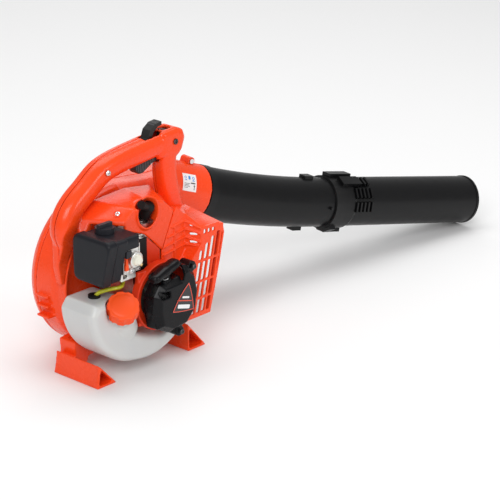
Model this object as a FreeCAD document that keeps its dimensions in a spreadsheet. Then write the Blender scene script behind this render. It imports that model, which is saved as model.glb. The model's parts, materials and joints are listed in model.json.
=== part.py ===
import FreeCAD, Part
import math
import os
import Sketcher

# Handheld petrol leaf blower, in millimetres.
# +X is forward, along the air pipes; +Y is the fan side, -Y the recoil starter side; +Z is up.
# Everything is laid out about the crank axis, which runs along Y at crank_height above the ground.
# Each sub-part's Placement then moves it so that the origin is under the middle of the whole machine.

V = FreeCAD.Vector

DIMENSIONS = {
    "crank_x": -301, "crank_y": 4, "crank_height": 100,
    "wall": 2.6, "fit_gap": 0.3, "running_gap": 0.05,
    "scroll_start": 87, "scroll_end": 128, "scroll_near": 12, "scroll_far": 80, "scroll_split": 52,
    "tongue_angle": 20, "scroll_turn": 297, "scroll_growth": 2.5,
    "inlet_r": 47, "shaft_hole_r": 20,
    "outlet_x": 198, "collar_length": 58, "outlet_y": 56, "outlet_z": 162, "outlet_r": 39.5,
    "pipe_r": 36.5, "pipe_wall": 2, "pipe_yaw": 9.2, "elbow_droop": 20, "pipe_droop": 11.3,
    "elbow_length": 240, "elbow_swell": 2, "pipe_length": 302, "spigot_length": 45, "sleeve_r": 39.5,
    "sleeve_length": 36, "socket_r": 35, "socket_length": 30,
    "bead_r": 37.3, "bead_width": 4,
    "foot_width": 34, "foot_wall": 3, "rear_foot_x": -109, "front_foot_x": 58,
    "rear_foot_rise": 31, "front_foot_rise": 39, "foot_near": -66, "foot_far": 16,
    "grip_r": 16.5, "handle_half": 17, "head_half": 17.5,
    "impeller_r": 80, "impeller_back": 21, "impeller_disc": 3, "blade_depth": 38, "blade_thick": 2.4,
    "impeller_hub_r": 17, "impeller_hub_length": 40, "blade_count": 12, "shaft_r": 6,
    "nut_r": 9, "nut_length": 9,
    "flywheel_r": 38, "flywheel_front": -6, "flywheel_width": 13, "fin_count": 16,
    "web_r": 24, "throw": 14, "crank_pin_r": 5.5, "journal_r": 7.5, "bearing_r": 13, "bearing_width": 8,
    "engine_y": -36, "cylinder_r": 21, "bore_r": 17, "fin_half": 27, "fin_depth": 2, "fin_pitch": 7,
    "cylinder_base": 134, "cylinder_top": 190,
    "starter_r": 44, "starter_x": 3, "starter_face": -103, "starter_back": -77, "pulley_r": 24.5, "rope_r": 2,
    "rope_x": -8, "rope_y": -90, "pulley_y": -86, "grip_length": 54,
    "tank_near": -74, "tank_far": -12, "tank_wall": 2.5,
    "cap_x": -75, "cap_y": -80, "cap_z": 105, "cap_r": 20.5, "cap_height": 17, "cap_lobes": 9,
    "cap_azimuth": -126, "cap_elevation": 50, "neck_r": 14,
    "hose_r": 2.6, "screw_r": 4,
    "box_back": -106, "box_front": -90.5, "box_low": 140, "box_high": 203, "carb_z": 160,
    "cover_outer": -79, "cover_deep": -60, "cover_thick": 3,
}

doc = FreeCAD.newDocument("leaf_blower")
sheet = doc.addObject("Spreadsheet::Sheet", "Dims")
for row, (alias, number) in enumerate(DIMENSIONS.items(), start=1):
    sheet.set("A%d" % row, alias)
    sheet.set("B%d" % row, str(number))
    sheet.setAlias("B%d" % row, alias)
doc.recompute()


def cell(alias):
    """The value of a driving dimension."""
    return float(sheet.get(alias))


HOME = FreeCAD.Placement(V(cell("crank_x"), cell("crank_y"), 0), FreeCAD.Rotation())
CRANK_Z = cell("crank_height")
WALL = cell("wall")
GAP = cell("fit_gap")
ALONG_Y = V(0, 1, 0)
sub_parts = []


# ---------------------------------------------------------------- helpers: documents and sketches

def keep(item, name):
    """Register a finished sub-part and put it in its place in the machine's frame."""
    item.Label = name
    item.Placement = HOME
    sub_parts.append((name, item))
    return item


def feature(name, shape):
    """A sub-part whose shape comes from Part's functions."""
    item = doc.addObject("Part::Feature", name + "_shape")
    item.Shape = shape
    return keep(item, name)


def new_body(name):
    return doc.addObject("PartDesign::Body", name + "_body")


def origin_plane(body, role):
    return [item for item in body.Origin.OriginFeatures if item.Role == role][0]


def new_sketch(body, name, role, offset=None):
    """A sketch on one of the body's origin planes, moved along the plane's normal by an expression."""
    sketch = body.newObject("Sketcher::SketchObject", name)
    sketch.AttachmentSupport = [(origin_plane(body, role), "")]
    sketch.MapMode = "FlatFace"
    if offset:
        sketch.setExpression("AttachmentOffset.Base.z", offset)
    return sketch


def number_of(item):
    """A plain number, or the value of a cell named in text, with a minus sign allowed."""
    if isinstance(item, str):
        return -cell(item[1:]) if item.startswith("-") else cell(item)
    return item


def bind(sketch, kind, geometry, vertex, item):
    """Tie one coordinate of a vertex to a cell."""
    index = sketch.addConstraint(Sketcher.Constraint(kind, -1, 1, geometry, vertex, number_of(item)))
    sign = "-" if item.startswith("-") else ""
    sketch.setExpression("Constraints[%d]" % index, sign + "Dims." + item.lstrip("-"))


def add_circle(sketch, x, y, radius):
    index = sketch.addGeometry(Part.Circle(V(x, y, 0), V(0, 0, 1), number_of(radius)))
    if isinstance(radius, str):
        row = sketch.addConstraint(Sketcher.Constraint("Radius", index, number_of(radius)))
        sketch.setExpression("Constraints[%d]" % row, "Dims." + radius)
    return index


def add_outline(sketch, points):
    """A closed outline of straight lines; coordinates given as text are tied to the sheet."""
    places = [V(number_of(x), number_of(y), 0) for x, y in points]
    count = len(points)
    lines = [sketch.addGeometry(Part.LineSegment(places[i], places[(i + 1) % count])) for i in range(count)]
    for i, line in enumerate(lines):
        sketch.addConstraint(Sketcher.Constraint("Coincident", line, 2, lines[(i + 1) % count], 1))
        for kind, item in zip(("DistanceX", "DistanceY"), points[i]):
            if isinstance(item, str):
                bind(sketch, kind, line, 1, item)
    return lines


def revolved(name, points):
    """A body turned about the crank axis from an outline of (radius, Y) points."""
    body = new_body(name)
    sketch = new_sketch(body, name + "_profile", "XY_Plane", "Dims.crank_height")
    add_outline(sketch, points)
    turn = body.newObject("PartDesign::Revolution", name + "_turn")
    turn.Profile = sketch
    turn.ReferenceAxis = (sketch, ["V_Axis"])
    turn.Angle = 360
    doc.recompute()
    return keep(body, name)


def pad(body, sketch, name, length, reverse=False):
    item = body.newObject("PartDesign::Pad", name)
    item.Profile = sketch
    if isinstance(length, str):
        item.setExpression("Length", length)
    else:
        item.Length = length
    item.Reversed = reverse
    doc.recompute()
    return item


def pocket(body, sketch, name, length, reverse=False):
    """A pocket that is checked to remove material."""
    before = body.Shape.Volume
    item = body.newObject("PartDesign::Pocket", name)
    item.Profile = sketch
    item.Length = length
    item.Reversed = reverse
    doc.recompute()
    if body.Shape.Volume >= before:
        raise RuntimeError(name + " removes nothing")
    return item


def polar(body, items, name, axis, count):
    """Repeat features about a sketch's own normal."""
    item = body.newObject("PartDesign::PolarPattern", name)
    item.Originals = items
    item.Axis = axis
    item.Angle = 360
    item.Occurrences = int(count)
    body.Tip = item
    doc.recompute()
    return item


# ---------------------------------------------------------------- helpers: solids

def on_crank(y, x=0.0, z=0.0):
    """A point measured from the crank axis."""
    return V(x, y, CRANK_Z + z)


def rod_y(radius, low, high, x=0.0, z=0.0):
    """A cylinder along Y, placed from the crank axis."""
    return Part.makeCylinder(radius, high - low, on_crank(low, x, z), ALONG_Y)


def ring_y(outer, inner, low, high, x=0.0, z=0.0):
    return rod_y(outer, low, high, x, z).cut(rod_y(inner, low - 1, high + 1, x, z))


def block(low, high):
    """A box between two corners."""
    return Part.makeBox(high[0] - low[0], high[1] - low[1], high[2] - low[2], V(*low))


def prism_y(points, low, high):
    """A flat outline of (X, Z) points carried along Y."""
    wire = Part.makePolygon([V(x, low, z) for x, z in points] + [V(points[0][0], low, points[0][1])])
    return Part.Face(wire).extrude(V(0, high - low, 0))


def joined(shapes, tidy=True):
    """One solid from overlapping ones; tidy merges faces that lie on one surface."""
    first = shapes[0]
    if len(shapes) > 1:
        first = first.fuse(shapes[1:])
    return first.removeSplitter() if tidy else first


def slab(near, far):
    """A solid between two outlines with the same number of corners."""
    wires = [Part.makePolygon([V(*p) for p in ring] + [V(*ring[0])]) for ring in (near, far)]
    return Part.makeLoft(wires, True, True)


def egg_wire(centre, across, up, half_a, half_b, power, count=24):
    """A closed smooth outline: an ellipse for power 2, a rounded rectangle for a larger one."""
    points = []
    for i in range(count):
        angle = 2 * math.pi * i / count
        c, s = math.cos(angle), math.sin(angle)
        size = (abs(c) ** power + abs(s) ** power) ** (-1.0 / power)
        points.append(centre + across * (half_a * size * c) + up * (half_b * size * s))
    curve = Part.BSplineCurve()
    curve.interpolate(points, PeriodicFlag=True)
    return Part.Wire([curve.toShape()])


def swept(path_points, across, half_a, half_b, power):
    """A bar of rounded section along a smooth path; `across` is one side direction of the section."""
    curve = Part.BSplineCurve()
    curve.interpolate([V(*p) for p in path_points])
    path = Part.Wire([curve.toShape()])
    start = curve.tangent(curve.FirstParameter)[0]
    up = start.cross(across)
    up.normalize()
    section = egg_wire(curve.StartPoint, across, up, half_a, half_b, power)
    return path.makePipeShell([section], True, False)


def tube_along(route, radius, name):
    """A round tube along straight runs joined by tangent arcs, each as large as its runs allow."""
    points = [V(*p) for p in route]
    edges = []
    radii = []
    start = points[0]
    for before, corner, after in zip(points, points[1:], points[2:]):
        back = before - corner
        ahead = after - corner
        shorter = min(back.Length, ahead.Length)
        back.normalize()
        ahead.normalize()
        half_turn = (math.pi - back.getAngle(ahead)) / 2
        trim = 0.45 * shorter
        radii.append(trim / math.tan(half_turn))
        arc_start = corner + back * trim
        arc_end = corner + ahead * trim
        bisector = back + ahead
        bisector.normalize()
        reach = radii[-1] / math.cos(half_turn) - radii[-1]
        edges.append(Part.LineSegment(start, arc_start).toShape())
        edges.append(Part.Arc(arc_start, corner + bisector * reach, arc_end).toShape())
        start = arc_end
    edges.append(Part.LineSegment(start, points[-1]).toShape())
    path = Part.Wire(edges)
    direction = points[1] - points[0]
    section = Part.Wire([Part.makeCircle(radius, points[0], direction)])
    solid = path.makePipeShell([section], True, False)
    expected = math.pi * radius ** 2 * path.Length
    print(name, "radii", [round(r, 1) for r in radii], "length", round(path.Length, 1),
          "volume ratio", round(solid.Volume / expected, 4))
    return solid


# ---------------------------------------------------------------- the air path

def pipe_direction(droop):
    """Forward along the pipes' common yaw, drooping by an angle in degrees."""
    yaw = math.radians(cell("pipe_yaw"))
    down = math.radians(droop)
    return V(math.cos(down) * math.cos(yaw), -math.cos(down) * math.sin(yaw), -math.sin(down))


OUTLET = V(cell("outlet_x"), cell("outlet_y"), cell("outlet_z"))
OUTLET_DIRECTION = pipe_direction(cell("elbow_droop"))
PIPE_DIRECTION = pipe_direction(cell("pipe_droop"))
PIPE_SIDE = V(math.sin(math.radians(cell("pipe_yaw"))), math.cos(math.radians(cell("pipe_yaw"))), 0)


def scroll_section(y, inset):
    """The fan scroll's outline at one Y: a spiral about the crank axis, closed by a straight front."""
    turn = cell("scroll_turn")
    steps = 22
    points = []
    for i in range(steps + 1):
        share = i / steps
        growth = (cell("scroll_end") - cell("scroll_start")) * share ** cell("scroll_growth")
        radius = cell("scroll_start") + growth - inset
        angle = math.radians(cell("tongue_angle") - turn * share)
        points.append(on_crank(y, radius * math.cos(angle), radius * math.sin(angle)))
    curve = Part.BSplineCurve()
    curve.interpolate(points)
    return Part.Wire([curve.toShape(), Part.LineSegment(points[-1], points[0]).toShape()])


def scroll_solid(inset):
    """The scroll with rounded sides, as a stack of sections from the near to the far side."""
    near = cell("scroll_near") + inset
    far = cell("scroll_far") - inset
    edges = ((0, 13), (2, 7), (6, 2.5), (12, 0), (52, 0), (62, 4), (72, 12), (80, 25))
    scale = (far - near) / edges[-1][0]
    wires = [scroll_section(near + at * scale, inset + depth) for at, depth in edges]
    return Part.makeLoft(wires, True, True)


def duct_solid(inset):
    """The duct that leads from the scroll to the round outlet."""
    up = PIPE_SIDE.cross(OUTLET_DIRECTION) * -1
    round_r = cell("outlet_r") - inset
    straight = -cell("collar_length")
    wires = [
        egg_wire(V(20, 52, 176), V(0, 1, 0), V(0, 0, 1), 36 - inset, 46 - inset, 6),
        egg_wire(V(70, 53, 175), V(0, 1, 0), V(0.02, 0, 1), 36 - inset, 44 - inset, 5),
        egg_wire(V(122, 57, 174), PIPE_SIDE, V(0.2, 0, 1), 36 - inset, 41 - inset, 3),
        egg_wire(OUTLET + OUTLET_DIRECTION * straight, PIPE_SIDE, up, round_r, round_r, 2),
        egg_wire(OUTLET, PIPE_SIDE, up, round_r, round_r, 2),
    ]
    return Part.makeLoft(wires[:4], True, False).fuse(Part.makeLoft(wires[3:], True, True))


SCROLL_OUTER = joined([scroll_solid(0), duct_solid(0)])
SCROLL_INNER = scroll_solid(WALL).fuse(duct_solid(WALL))


def foot(x, rise, lean):
    """A hollow triangular foot rail along Y, open at the near end."""
    width, wall = cell("foot_width"), cell("foot_wall")
    outer = [(x, 0), (x + width, 0), (x + lean, rise)]
    middle_x, middle_z = x + (width + lean) / 3, rise / 3
    shrink = 1 - wall / (rise / 3)
    inner = [(middle_x + (px - middle_x) * shrink, middle_z + (pz - middle_z) * shrink) for px, pz in outer]
    solid = prism_y(outer, cell("foot_near"), cell("foot_far"))
    return solid.cut(prism_y(inner, cell("foot_near") - 1, cell("foot_far") - wall))


def rear_rim():
    """The raised edge that stands towards the engine round the back of the scroll."""
    depth = V(0, 22, 0)
    edge = Part.Face(scroll_section(0, 4)).extrude(depth).cut(Part.Face(scroll_section(0, 8)).extrude(depth))
    window = prism_y([(-30, 240), (-140, 240), (-140, -20), (10, -20), (10, 40), (-50, 60),
                      (-75, 100), (-75, 150), (-60, 180)], -5, 30)
    return edge.common(window).cut(SCROLL_INNER)


RIM = rear_rim()


def housing_halves():
    """The fan case on the engine side, with its rim, legs and feet, and the fan cover beyond it."""
    shell = SCROLL_OUTER.cut(SCROLL_INNER)
    bore = Part.makeCylinder(cell("pipe_r") + 0.15, 40, OUTLET - OUTLET_DIRECTION * 20, OUTLET_DIRECTION)
    shell = shell.cut(bore)
    split = cell("scroll_split")
    near_space = block((-200, -120, -20), (260, split, 320))
    far_space = block((-200, split, -20), (260, 140, 320))

    case = shell.common(near_space).cut(rod_y(cell("shaft_hole_r"), 0, 40))
    rear_leg = prism_y([(-109, 0), (-80, 0), (-72, 20), (-58, 22), (-66, 48), (-97, 46), (-96, 24)],
                       -11.5, 18)
    front_leg = prism_y([(57, 0), (84, 0), (72, 30), (66, 56), (56, 44)], 14, 28)
    legs = rear_leg.fuse(front_leg).cut(SCROLL_INNER)
    feet = [foot(cell("rear_foot_x"), cell("rear_foot_rise"), 5),
            foot(cell("front_foot_x"), cell("front_foot_rise"), 0)]
    bars = [block((-109, 24, z), (-90, 46, z + 4)).cut(SCROLL_INNER) for z in (72, 86, 100)]
    case = joined([case, RIM, legs] + feet + bars, False)
    feature("fan_case", max(case.Solids, key=lambda s: s.Volume))

    inlet = rod_y(cell("inlet_r"), cell("scroll_far") - 10, cell("scroll_far") + 10)
    feature("fan_cover", shell.common(far_space).cut(inlet))


def intake_grille():
    """The round guard over the fan's inlet: a rim, rings and spokes."""
    low = cell("scroll_far") + GAP
    rim = ring_y(cell("inlet_r") + 8, cell("inlet_r") - 2, low, low + 12)
    rings = [ring_y(r + 1.2, r - 1.2, low + 8, low + 12) for r in (12, 20, 28, 36)]
    spoke = block((9, low + 8, CRANK_Z - 1.3), (cell("inlet_r"), low + 12, CRANK_Z + 1.3))
    spokes = []
    for i in range(12):
        spokes.append(spoke.rotated(on_crank(0), ALONG_Y, 30 * i))
    hub = rod_y(10, low + 7, low + 12)
    feature("intake_grille", joined([rim, hub] + rings + spokes).cut(SCROLL_OUTER))


def elbow_place(share):
    """A point on the elbow's centre line and the direction there; share runs from 0 to 1."""
    turn = math.radians(cell("elbow_droop") - cell("pipe_droop"))
    radius = cell("elbow_length") / turn
    droop = cell("elbow_droop") + (cell("pipe_droop") - cell("elbow_droop")) * share
    direction = pipe_direction(droop)
    start_up = PIPE_SIDE.cross(OUTLET_DIRECTION) * -1
    centre = OUTLET + start_up * radius
    return centre + PIPE_SIDE.cross(direction) * radius, direction


SEAM = elbow_place(1)[0]


def elbow_tube(end_r):
    """A solid along the elbow that narrows from the outlet to end_r at the seam."""
    wires = []
    steps = 8
    for i in range(steps + 1):
        share = i / steps
        at, direction = elbow_place(share)
        radius = end_r + cell("elbow_swell") * (1 - share) ** 2
        wires.append(Part.Wire([Part.makeCircle(radius, at, direction)]))
    return Part.makeLoft(wires, True, False)


def pipe_piece(radius, low, high):
    """A round length of the front pipe, measured from the seam."""
    return Part.makeCylinder(radius, high - low, SEAM + PIPE_DIRECTION * low, PIPE_DIRECTION)


def pipe_pad(angle, low, high, base_r, half_width, depth):
    """A raised block on the front pipe; angle 0 faces the starter side, 90 faces up."""
    spin = math.radians(angle)
    up = PIPE_SIDE.cross(PIPE_DIRECTION) * -1
    outward = up * math.sin(spin) - PIPE_SIDE * math.cos(spin)
    pad_block = block((low, -half_width, -5.5), (high, half_width, depth))
    turn = FreeCAD.Rotation(PIPE_DIRECTION, PIPE_DIRECTION.cross(outward), outward, "XYZ")
    pad_block.Placement = FreeCAD.Placement(SEAM + outward * base_r, turn)
    return pad_block


def elbow_pipe():
    """The bent pipe: pushed into the outlet at one end, with a spigot for the front pipe at the other."""
    outer_r, wall = cell("pipe_r"), cell("pipe_wall")
    plug_in = 18
    back = Part.makeCylinder(outer_r, plug_in + 1, OUTLET - OUTLET_DIRECTION * plug_in, OUTLET_DIRECTION)
    ring = Part.makeCylinder(cell("sleeve_r"), 13, OUTLET + OUTLET_DIRECTION * GAP, OUTLET_DIRECTION)
    spigot_r = outer_r - wall - GAP
    spigot_end = cell("spigot_length")
    spigot = pipe_piece(spigot_r, -10, spigot_end)
    up = PIPE_SIDE.cross(PIPE_DIRECTION) * -1
    tabs = []
    for side, reach in ((1, -34), (-1, -42)):
        at = SEAM + PIPE_DIRECTION * reach + up * (side * (outer_r + 1.2))
        tab = block((-8, -7, -3.4), (8, 7, 3.4))
        tab.Placement = FreeCAD.Placement(at, FreeCAD.Rotation(PIPE_DIRECTION, PIPE_SIDE, up, "XYZ"))
        tabs.append(tab)
    peg_at = SEAM - PIPE_DIRECTION * 9 - PIPE_SIDE * (outer_r - 2)
    peg = Part.makeCylinder(2.5, 6, peg_at, PIPE_SIDE * -1)
    solid = joined([elbow_tube(outer_r).cut(pipe_piece(outer_r + 5, 0, 10)), back, ring, spigot, peg] + tabs)
    back_bore = Part.makeCylinder(outer_r - wall, plug_in + 3, OUTLET - OUTLET_DIRECTION * (plug_in + 1),
                                  OUTLET_DIRECTION)
    solid = solid.cut([elbow_tube(outer_r - wall).common(pipe_space_before(-8)), back_bore,
                       pipe_piece(spigot_r - wall, -12, spigot_end + 10)])
    feature("elbow_pipe", solid)


def pipe_space_before(reach):
    """Everything behind a plane across the pipes at a distance from the seam."""
    half = 400
    space = block((-2 * half, -half, -half), (reach, half, half))
    space.Placement = FreeCAD.Placement(SEAM, FreeCAD.Rotation(PIPE_DIRECTION, PIPE_SIDE, V(0, 0, 1), "XYZ"))
    return space


def front_pipe():
    """The straight pipe with its twist-lock sleeve, ribs and the socket at its mouth."""
    outer_r, length, sleeve = cell("pipe_r"), cell("pipe_length"), cell("sleeve_length")
    shoulder = Part.makeCone(cell("sleeve_r"), outer_r, 6, SEAM + PIPE_DIRECTION * sleeve, PIPE_DIRECTION)
    bead = pipe_piece(cell("bead_r"), length - cell("bead_width"), length)
    lug_places = ((90, 4, 46), (60, 16, 50), (-90, 10, 42), (-60, 2, 14), (150, 10, 42), (-150, 4, 46))
    lugs = [pipe_pad(angle, low, high, cell("sleeve_r") - 0.6, 8, 2.2) for angle, low, high in lug_places]
    ribs = [pipe_pad(62 - 30 * row, sleeve + 2 + 7.5 * column, sleeve + 5 + 7.5 * column, outer_r, 7.5, 2.2)
            for row in range(3) for column in range(5)]
    tubes = [pipe_piece(outer_r, GAP, length), pipe_piece(cell("sleeve_r"), GAP, sleeve)]
    solid = joined(tubes + [shoulder, bead] + lugs + ribs)
    bore_r = outer_r - cell("pipe_wall")
    socket = pipe_piece(cell("socket_r"), length - cell("socket_length"), length + 5)
    feature("front_pipe", solid.cut([pipe_piece(bore_r, -5, length + 5), socket]))


def outlet_fittings():
    """The clamp lug and its screw on top of the outlet's collar, and the label beside them."""
    outlet_up = PIPE_SIDE.cross(OUTLET_DIRECTION) * -1
    boss_at = OUTLET - OUTLET_DIRECTION * 27 + outlet_up * (cell("outlet_r") + 3)
    half = 9
    lug = Part.makeCylinder(5.5, 2 * half, boss_at - PIPE_SIDE * half, PIPE_SIDE)
    saddle = block((-5.5, -half, -9), (5.5, half, 0))
    level = FreeCAD.Rotation(OUTLET_DIRECTION, PIPE_SIDE, outlet_up, "XYZ")
    saddle.Placement = FreeCAD.Placement(boss_at, level)
    bore = Part.makeCylinder(3.6, 40, boss_at - PIPE_SIDE * 20, PIPE_SIDE)
    clamp = joined([lug, saddle]).cut([bore, SCROLL_OUTER])
    feature("outlet_clamp", max(clamp.Solids, key=lambda s: s.Volume))
    screw = Part.makeCylinder(3.5, 2 * half + 4, boss_at - PIPE_SIDE * (half + 2), PIPE_SIDE)
    feature("outlet_clamp_screw", screw.cut(SCROLL_OUTER))

    label_start = OUTLET - OUTLET_DIRECTION * 54
    sleeve = Part.makeCylinder(cell("outlet_r") + 0.4, 24, label_start, OUTLET_DIRECTION).cut(
        Part.makeCylinder(cell("outlet_r") + 0.05, 24, label_start, OUTLET_DIRECTION))
    window = block((-5, -60, 5), (60, -4, 27))
    window.Placement = FreeCAD.Placement(label_start, level)
    feature("instruction_label", sleeve.common(window))


# ---------------------------------------------------------------- the handle and its controls

PLUG_AXIS = V(0, -0.5, 0.866)
PLUG_BASE = V(0, cell("engine_y"), 186)
BOOT_AT = PLUG_BASE + PLUG_AXIS * 18
BOOT_ELBOW = BOOT_AT + PLUG_AXIS * 17
BOOT_BEND = V(-0.75, -0.2, 0.35)
SCREW_PLACES = ((-35, -17.3, 262), (88, -18.2, 276))

GRIP_PATH = [(-93, 0, 184), (-98, 0, 203), (-87, 0, 223), (-60, 0, 243), (-36, 0, 259), (-12, 0, 266),
             (22, 0, 270.5), (57, 0, 274), (84, 0, 276)]
FRONT_LEG_PATH = [(88, -4, 284), (80, -4, 254), (81, -4, 222), (90, -4, 188), (98, -4, 158)]


def shroud_roof(shrink):
    """The hood over the cylinder: deep at the machine's middle, shallower towards the starter."""
    near = [(-52, 199), (-48, 210), (-33, 223), (-4, 227), (20, 221), (40, 203), (17, 153), (-14, 184)]
    far = [(-100, 190), (-88, 210), (-50, 226), (10, 229), (58, 222), (84, 192), (72, 160), (-30, 196)]
    low_corners = (0, 6, 7)

    def ring(outline, y):
        centre_x = sum(p[0] for p in outline) / len(outline)
        centre_z = sum(p[1] for p in outline) / len(outline)
        points = []
        for i, (x, z) in enumerate(outline):
            reach = math.hypot(x - centre_x, z - centre_z)
            share = 1 - shrink * 1.25 / reach
            px, pz = centre_x + (x - centre_x) * share, centre_z + (z - centre_z) * share
            if shrink and i in low_corners:
                px, pz = x + (2 if i == 0 else -3 if i == 6 else 0), z - 25
            points.append((px, y, pz))
        return points

    near_y = -60 + shrink
    return slab(ring(near, near_y), ring(far, 8 + shrink))


def handle_solid(inset):
    half = cell("handle_half") - inset
    grip_r = cell("grip_r") - inset
    grip = swept(GRIP_PATH, V(0, 1, 0), half, grip_r, 2.3)
    leg = swept(FRONT_LEG_PATH, V(0, 1, 0), 13 - inset, 14.5 - inset, 3.5)
    head = prism_y([(60, 256), (96, 254), (104, 262), (110, 278), (106, 289), (94, 294), (66, 292)],
                   -cell("head_half"), cell("head_half"))
    head = head.makeFillet(8, [e for e in head.Edges if abs(e.BoundBox.YLength) < 0.01])
    if inset:
        head = prism_y([(64, 260), (94, 258), (101, 264), (105, 278), (102, 285), (92, 289), (68, 288)],
                       -cell("head_half") + inset, cell("head_half") - inset)
    lower = prism_y([(-108 + inset, 204), (-109 + inset, 150), (-104 + inset, 124), (-94 - inset, 124),
                     (-91 - inset, 150), (-84 - inset, 204)], -11 + inset, 11.5 - inset)
    return [grip, leg, head, lower]


def grip_slope(inset):
    """The space under a sloped cut that lets the grip's rear end run out into the fan case's rim."""
    crest = 214 + inset * 2
    points = [(-40, 110), (-40, crest), (-19 + inset, crest), (1 + inset, 152 + inset), (1 + inset, 110)]
    wire = Part.makePolygon([V(-140, y, z) for y, z in points] + [V(-140, points[0][0], points[0][1])])
    return Part.Face(wire).extrude(V(80, 0, 0))


HANDLE_OUTER = joined(handle_solid(0))


def handles():
    """The two handle halves; the right one carries the hood over the cylinder."""
    outer = HANDLE_OUTER.cut(grip_slope(0))
    inner = [piece.cut(grip_slope(WALL)) for piece in handle_solid(WALL)]
    trigger_slot = prism_y([(19, 272), (19, 238), (42, 238), (56, 248.5), (79.5, 255), (79.5, 272)], -8, 8)
    top_slots = [block((40, -9, 278), (72, 9, 300)), block((75, -7, 280), (91, 7, 300))]
    shell = outer.cut(inner + [trigger_slot] + top_slots)
    left = shell.common(block((-140, 0, 100), (140, 40, 320)))
    left = left.cut([SCROLL_OUTER, RIM])
    feature("handle_left", max(left.Solids, key=lambda s: s.Volume))

    right = shell.common(block((-140, -40, 100), (140, 0, 320)))
    roof = shroud_roof(0).cut([shroud_roof(3)]).common(block((-140, -60, 100), (140, 0, 320)))
    well_at, well_axis, well_r = V(-9.5, -44, 203), V(0, -0.86, 0.5), 17.5
    well = Part.makeCylinder(well_r + WALL, 30, well_at, well_axis)
    well_hole = Part.makeCylinder(well_r, 70, well_at - well_axis * 16, well_axis)
    well = well.common(block((-60, -64, 150), (60, 0, 260)))
    roof = joined([roof, well]).cut([well_hole])
    knob_space = Part.makeCylinder(14.5, 18, V(-74.5, -50, 199))
    box_space = block((-108, -94, 138), (-47.6, -21, 204.5))
    boot_space = Part.makeCylinder(6.6, 40, BOOT_ELBOW, BOOT_BEND).fuse(
        [Part.makeSphere(8.4, BOOT_ELBOW), Part.makeCylinder(8.4, 20, BOOT_AT - PLUG_AXIS * 3, PLUG_AXIS)])
    screw_spaces = [Part.makeCylinder(cell("screw_r") + 0.1, 6, V(x, y - 4, z), ALONG_Y)
                    for x, y, z in SCREW_PLACES]
    right = joined([right, roof.cut(inner)])
    barrel_space = Part.makeCylinder(cell("cylinder_r") + 1.2, 30, V(0, cell("engine_y"), 168))
    right = right.cut([SCROLL_OUTER, RIM, barrel_space, knob_space, box_space, boot_space] + screw_spaces)
    feature("handle_right", max(right.Solids, key=lambda s: s.Volume))


def controls():
    """Trigger, cruise lever and stop switch, with the pins that the trigger and switch turn on."""
    trigger_at, switch_at, pin_r = V(72, 0, 263), V(83, 0, 285), 1.5
    body = new_body("throttle_trigger")
    sketch = new_sketch(body, "trigger_outline", "XZ_Plane", "-7")
    add_outline(sketch, [(22, 264), (24, 249), (30, 243), (37, 243), (54, 252), (75, 259), (77, 266),
                         (70, 268)])
    pad(body, sketch, "trigger_pad", 14)
    hole = new_sketch(body, "trigger_hole", "XZ_Plane", "-7")
    add_circle(hole, trigger_at.x, trigger_at.z, pin_r + cell("running_gap"))
    pocket(body, hole, "trigger_bore", 14, True)
    keep(body, "throttle_trigger")

    lever = prism_y([(46, 282), (53, 282), (58, 293), (66, 299), (73, 300), (73, 305), (63, 304),
                     (52, 297)], -7, 7)
    hub = Part.makeCylinder(4, 14, V(50, -7, 283), ALONG_Y)
    feature("cruise_lever", joined([lever, hub]))

    switch = doc.addObject("Part::Box", "switch_block")
    switch.Length, switch.Width, switch.Height = 13, 12, 13
    switch.Placement = FreeCAD.Placement(V(76.5, -6, 283), FreeCAD.Rotation())
    bore = doc.addObject("Part::Cylinder", "switch_bore")
    bore.Radius, bore.Height = pin_r + cell("running_gap"), 14
    bore.Placement = FreeCAD.Placement(switch_at - V(0, 7, 0), FreeCAD.Rotation(V(1, 0, 0), -90))
    tilt = doc.addObject("Part::Box", "switch_cut")
    tilt.Length, tilt.Width, tilt.Height = 20, 20, 10
    tilt.Placement = FreeCAD.Placement(V(74, -10, 293), FreeCAD.Rotation(V(0, 1, 0), 12))
    bored = doc.addObject("Part::Cut", "stop_switch_bored")
    bored.Base, bored.Tool = switch, bore
    cut = doc.addObject("Part::Cut", "stop_switch_cut")
    cut.Base, cut.Tool = bored, tilt
    doc.recompute()
    keep(cut, "stop_switch")
    pins = [Part.makeCylinder(pin_r, 2 * reach, place - V(0, reach, 0), ALONG_Y)
            for place, reach in ((trigger_at, 14), (switch_at, 8))]
    feature("pivot_pins", Part.makeCompound(pins))


# ---------------------------------------------------------------- the engine

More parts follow.
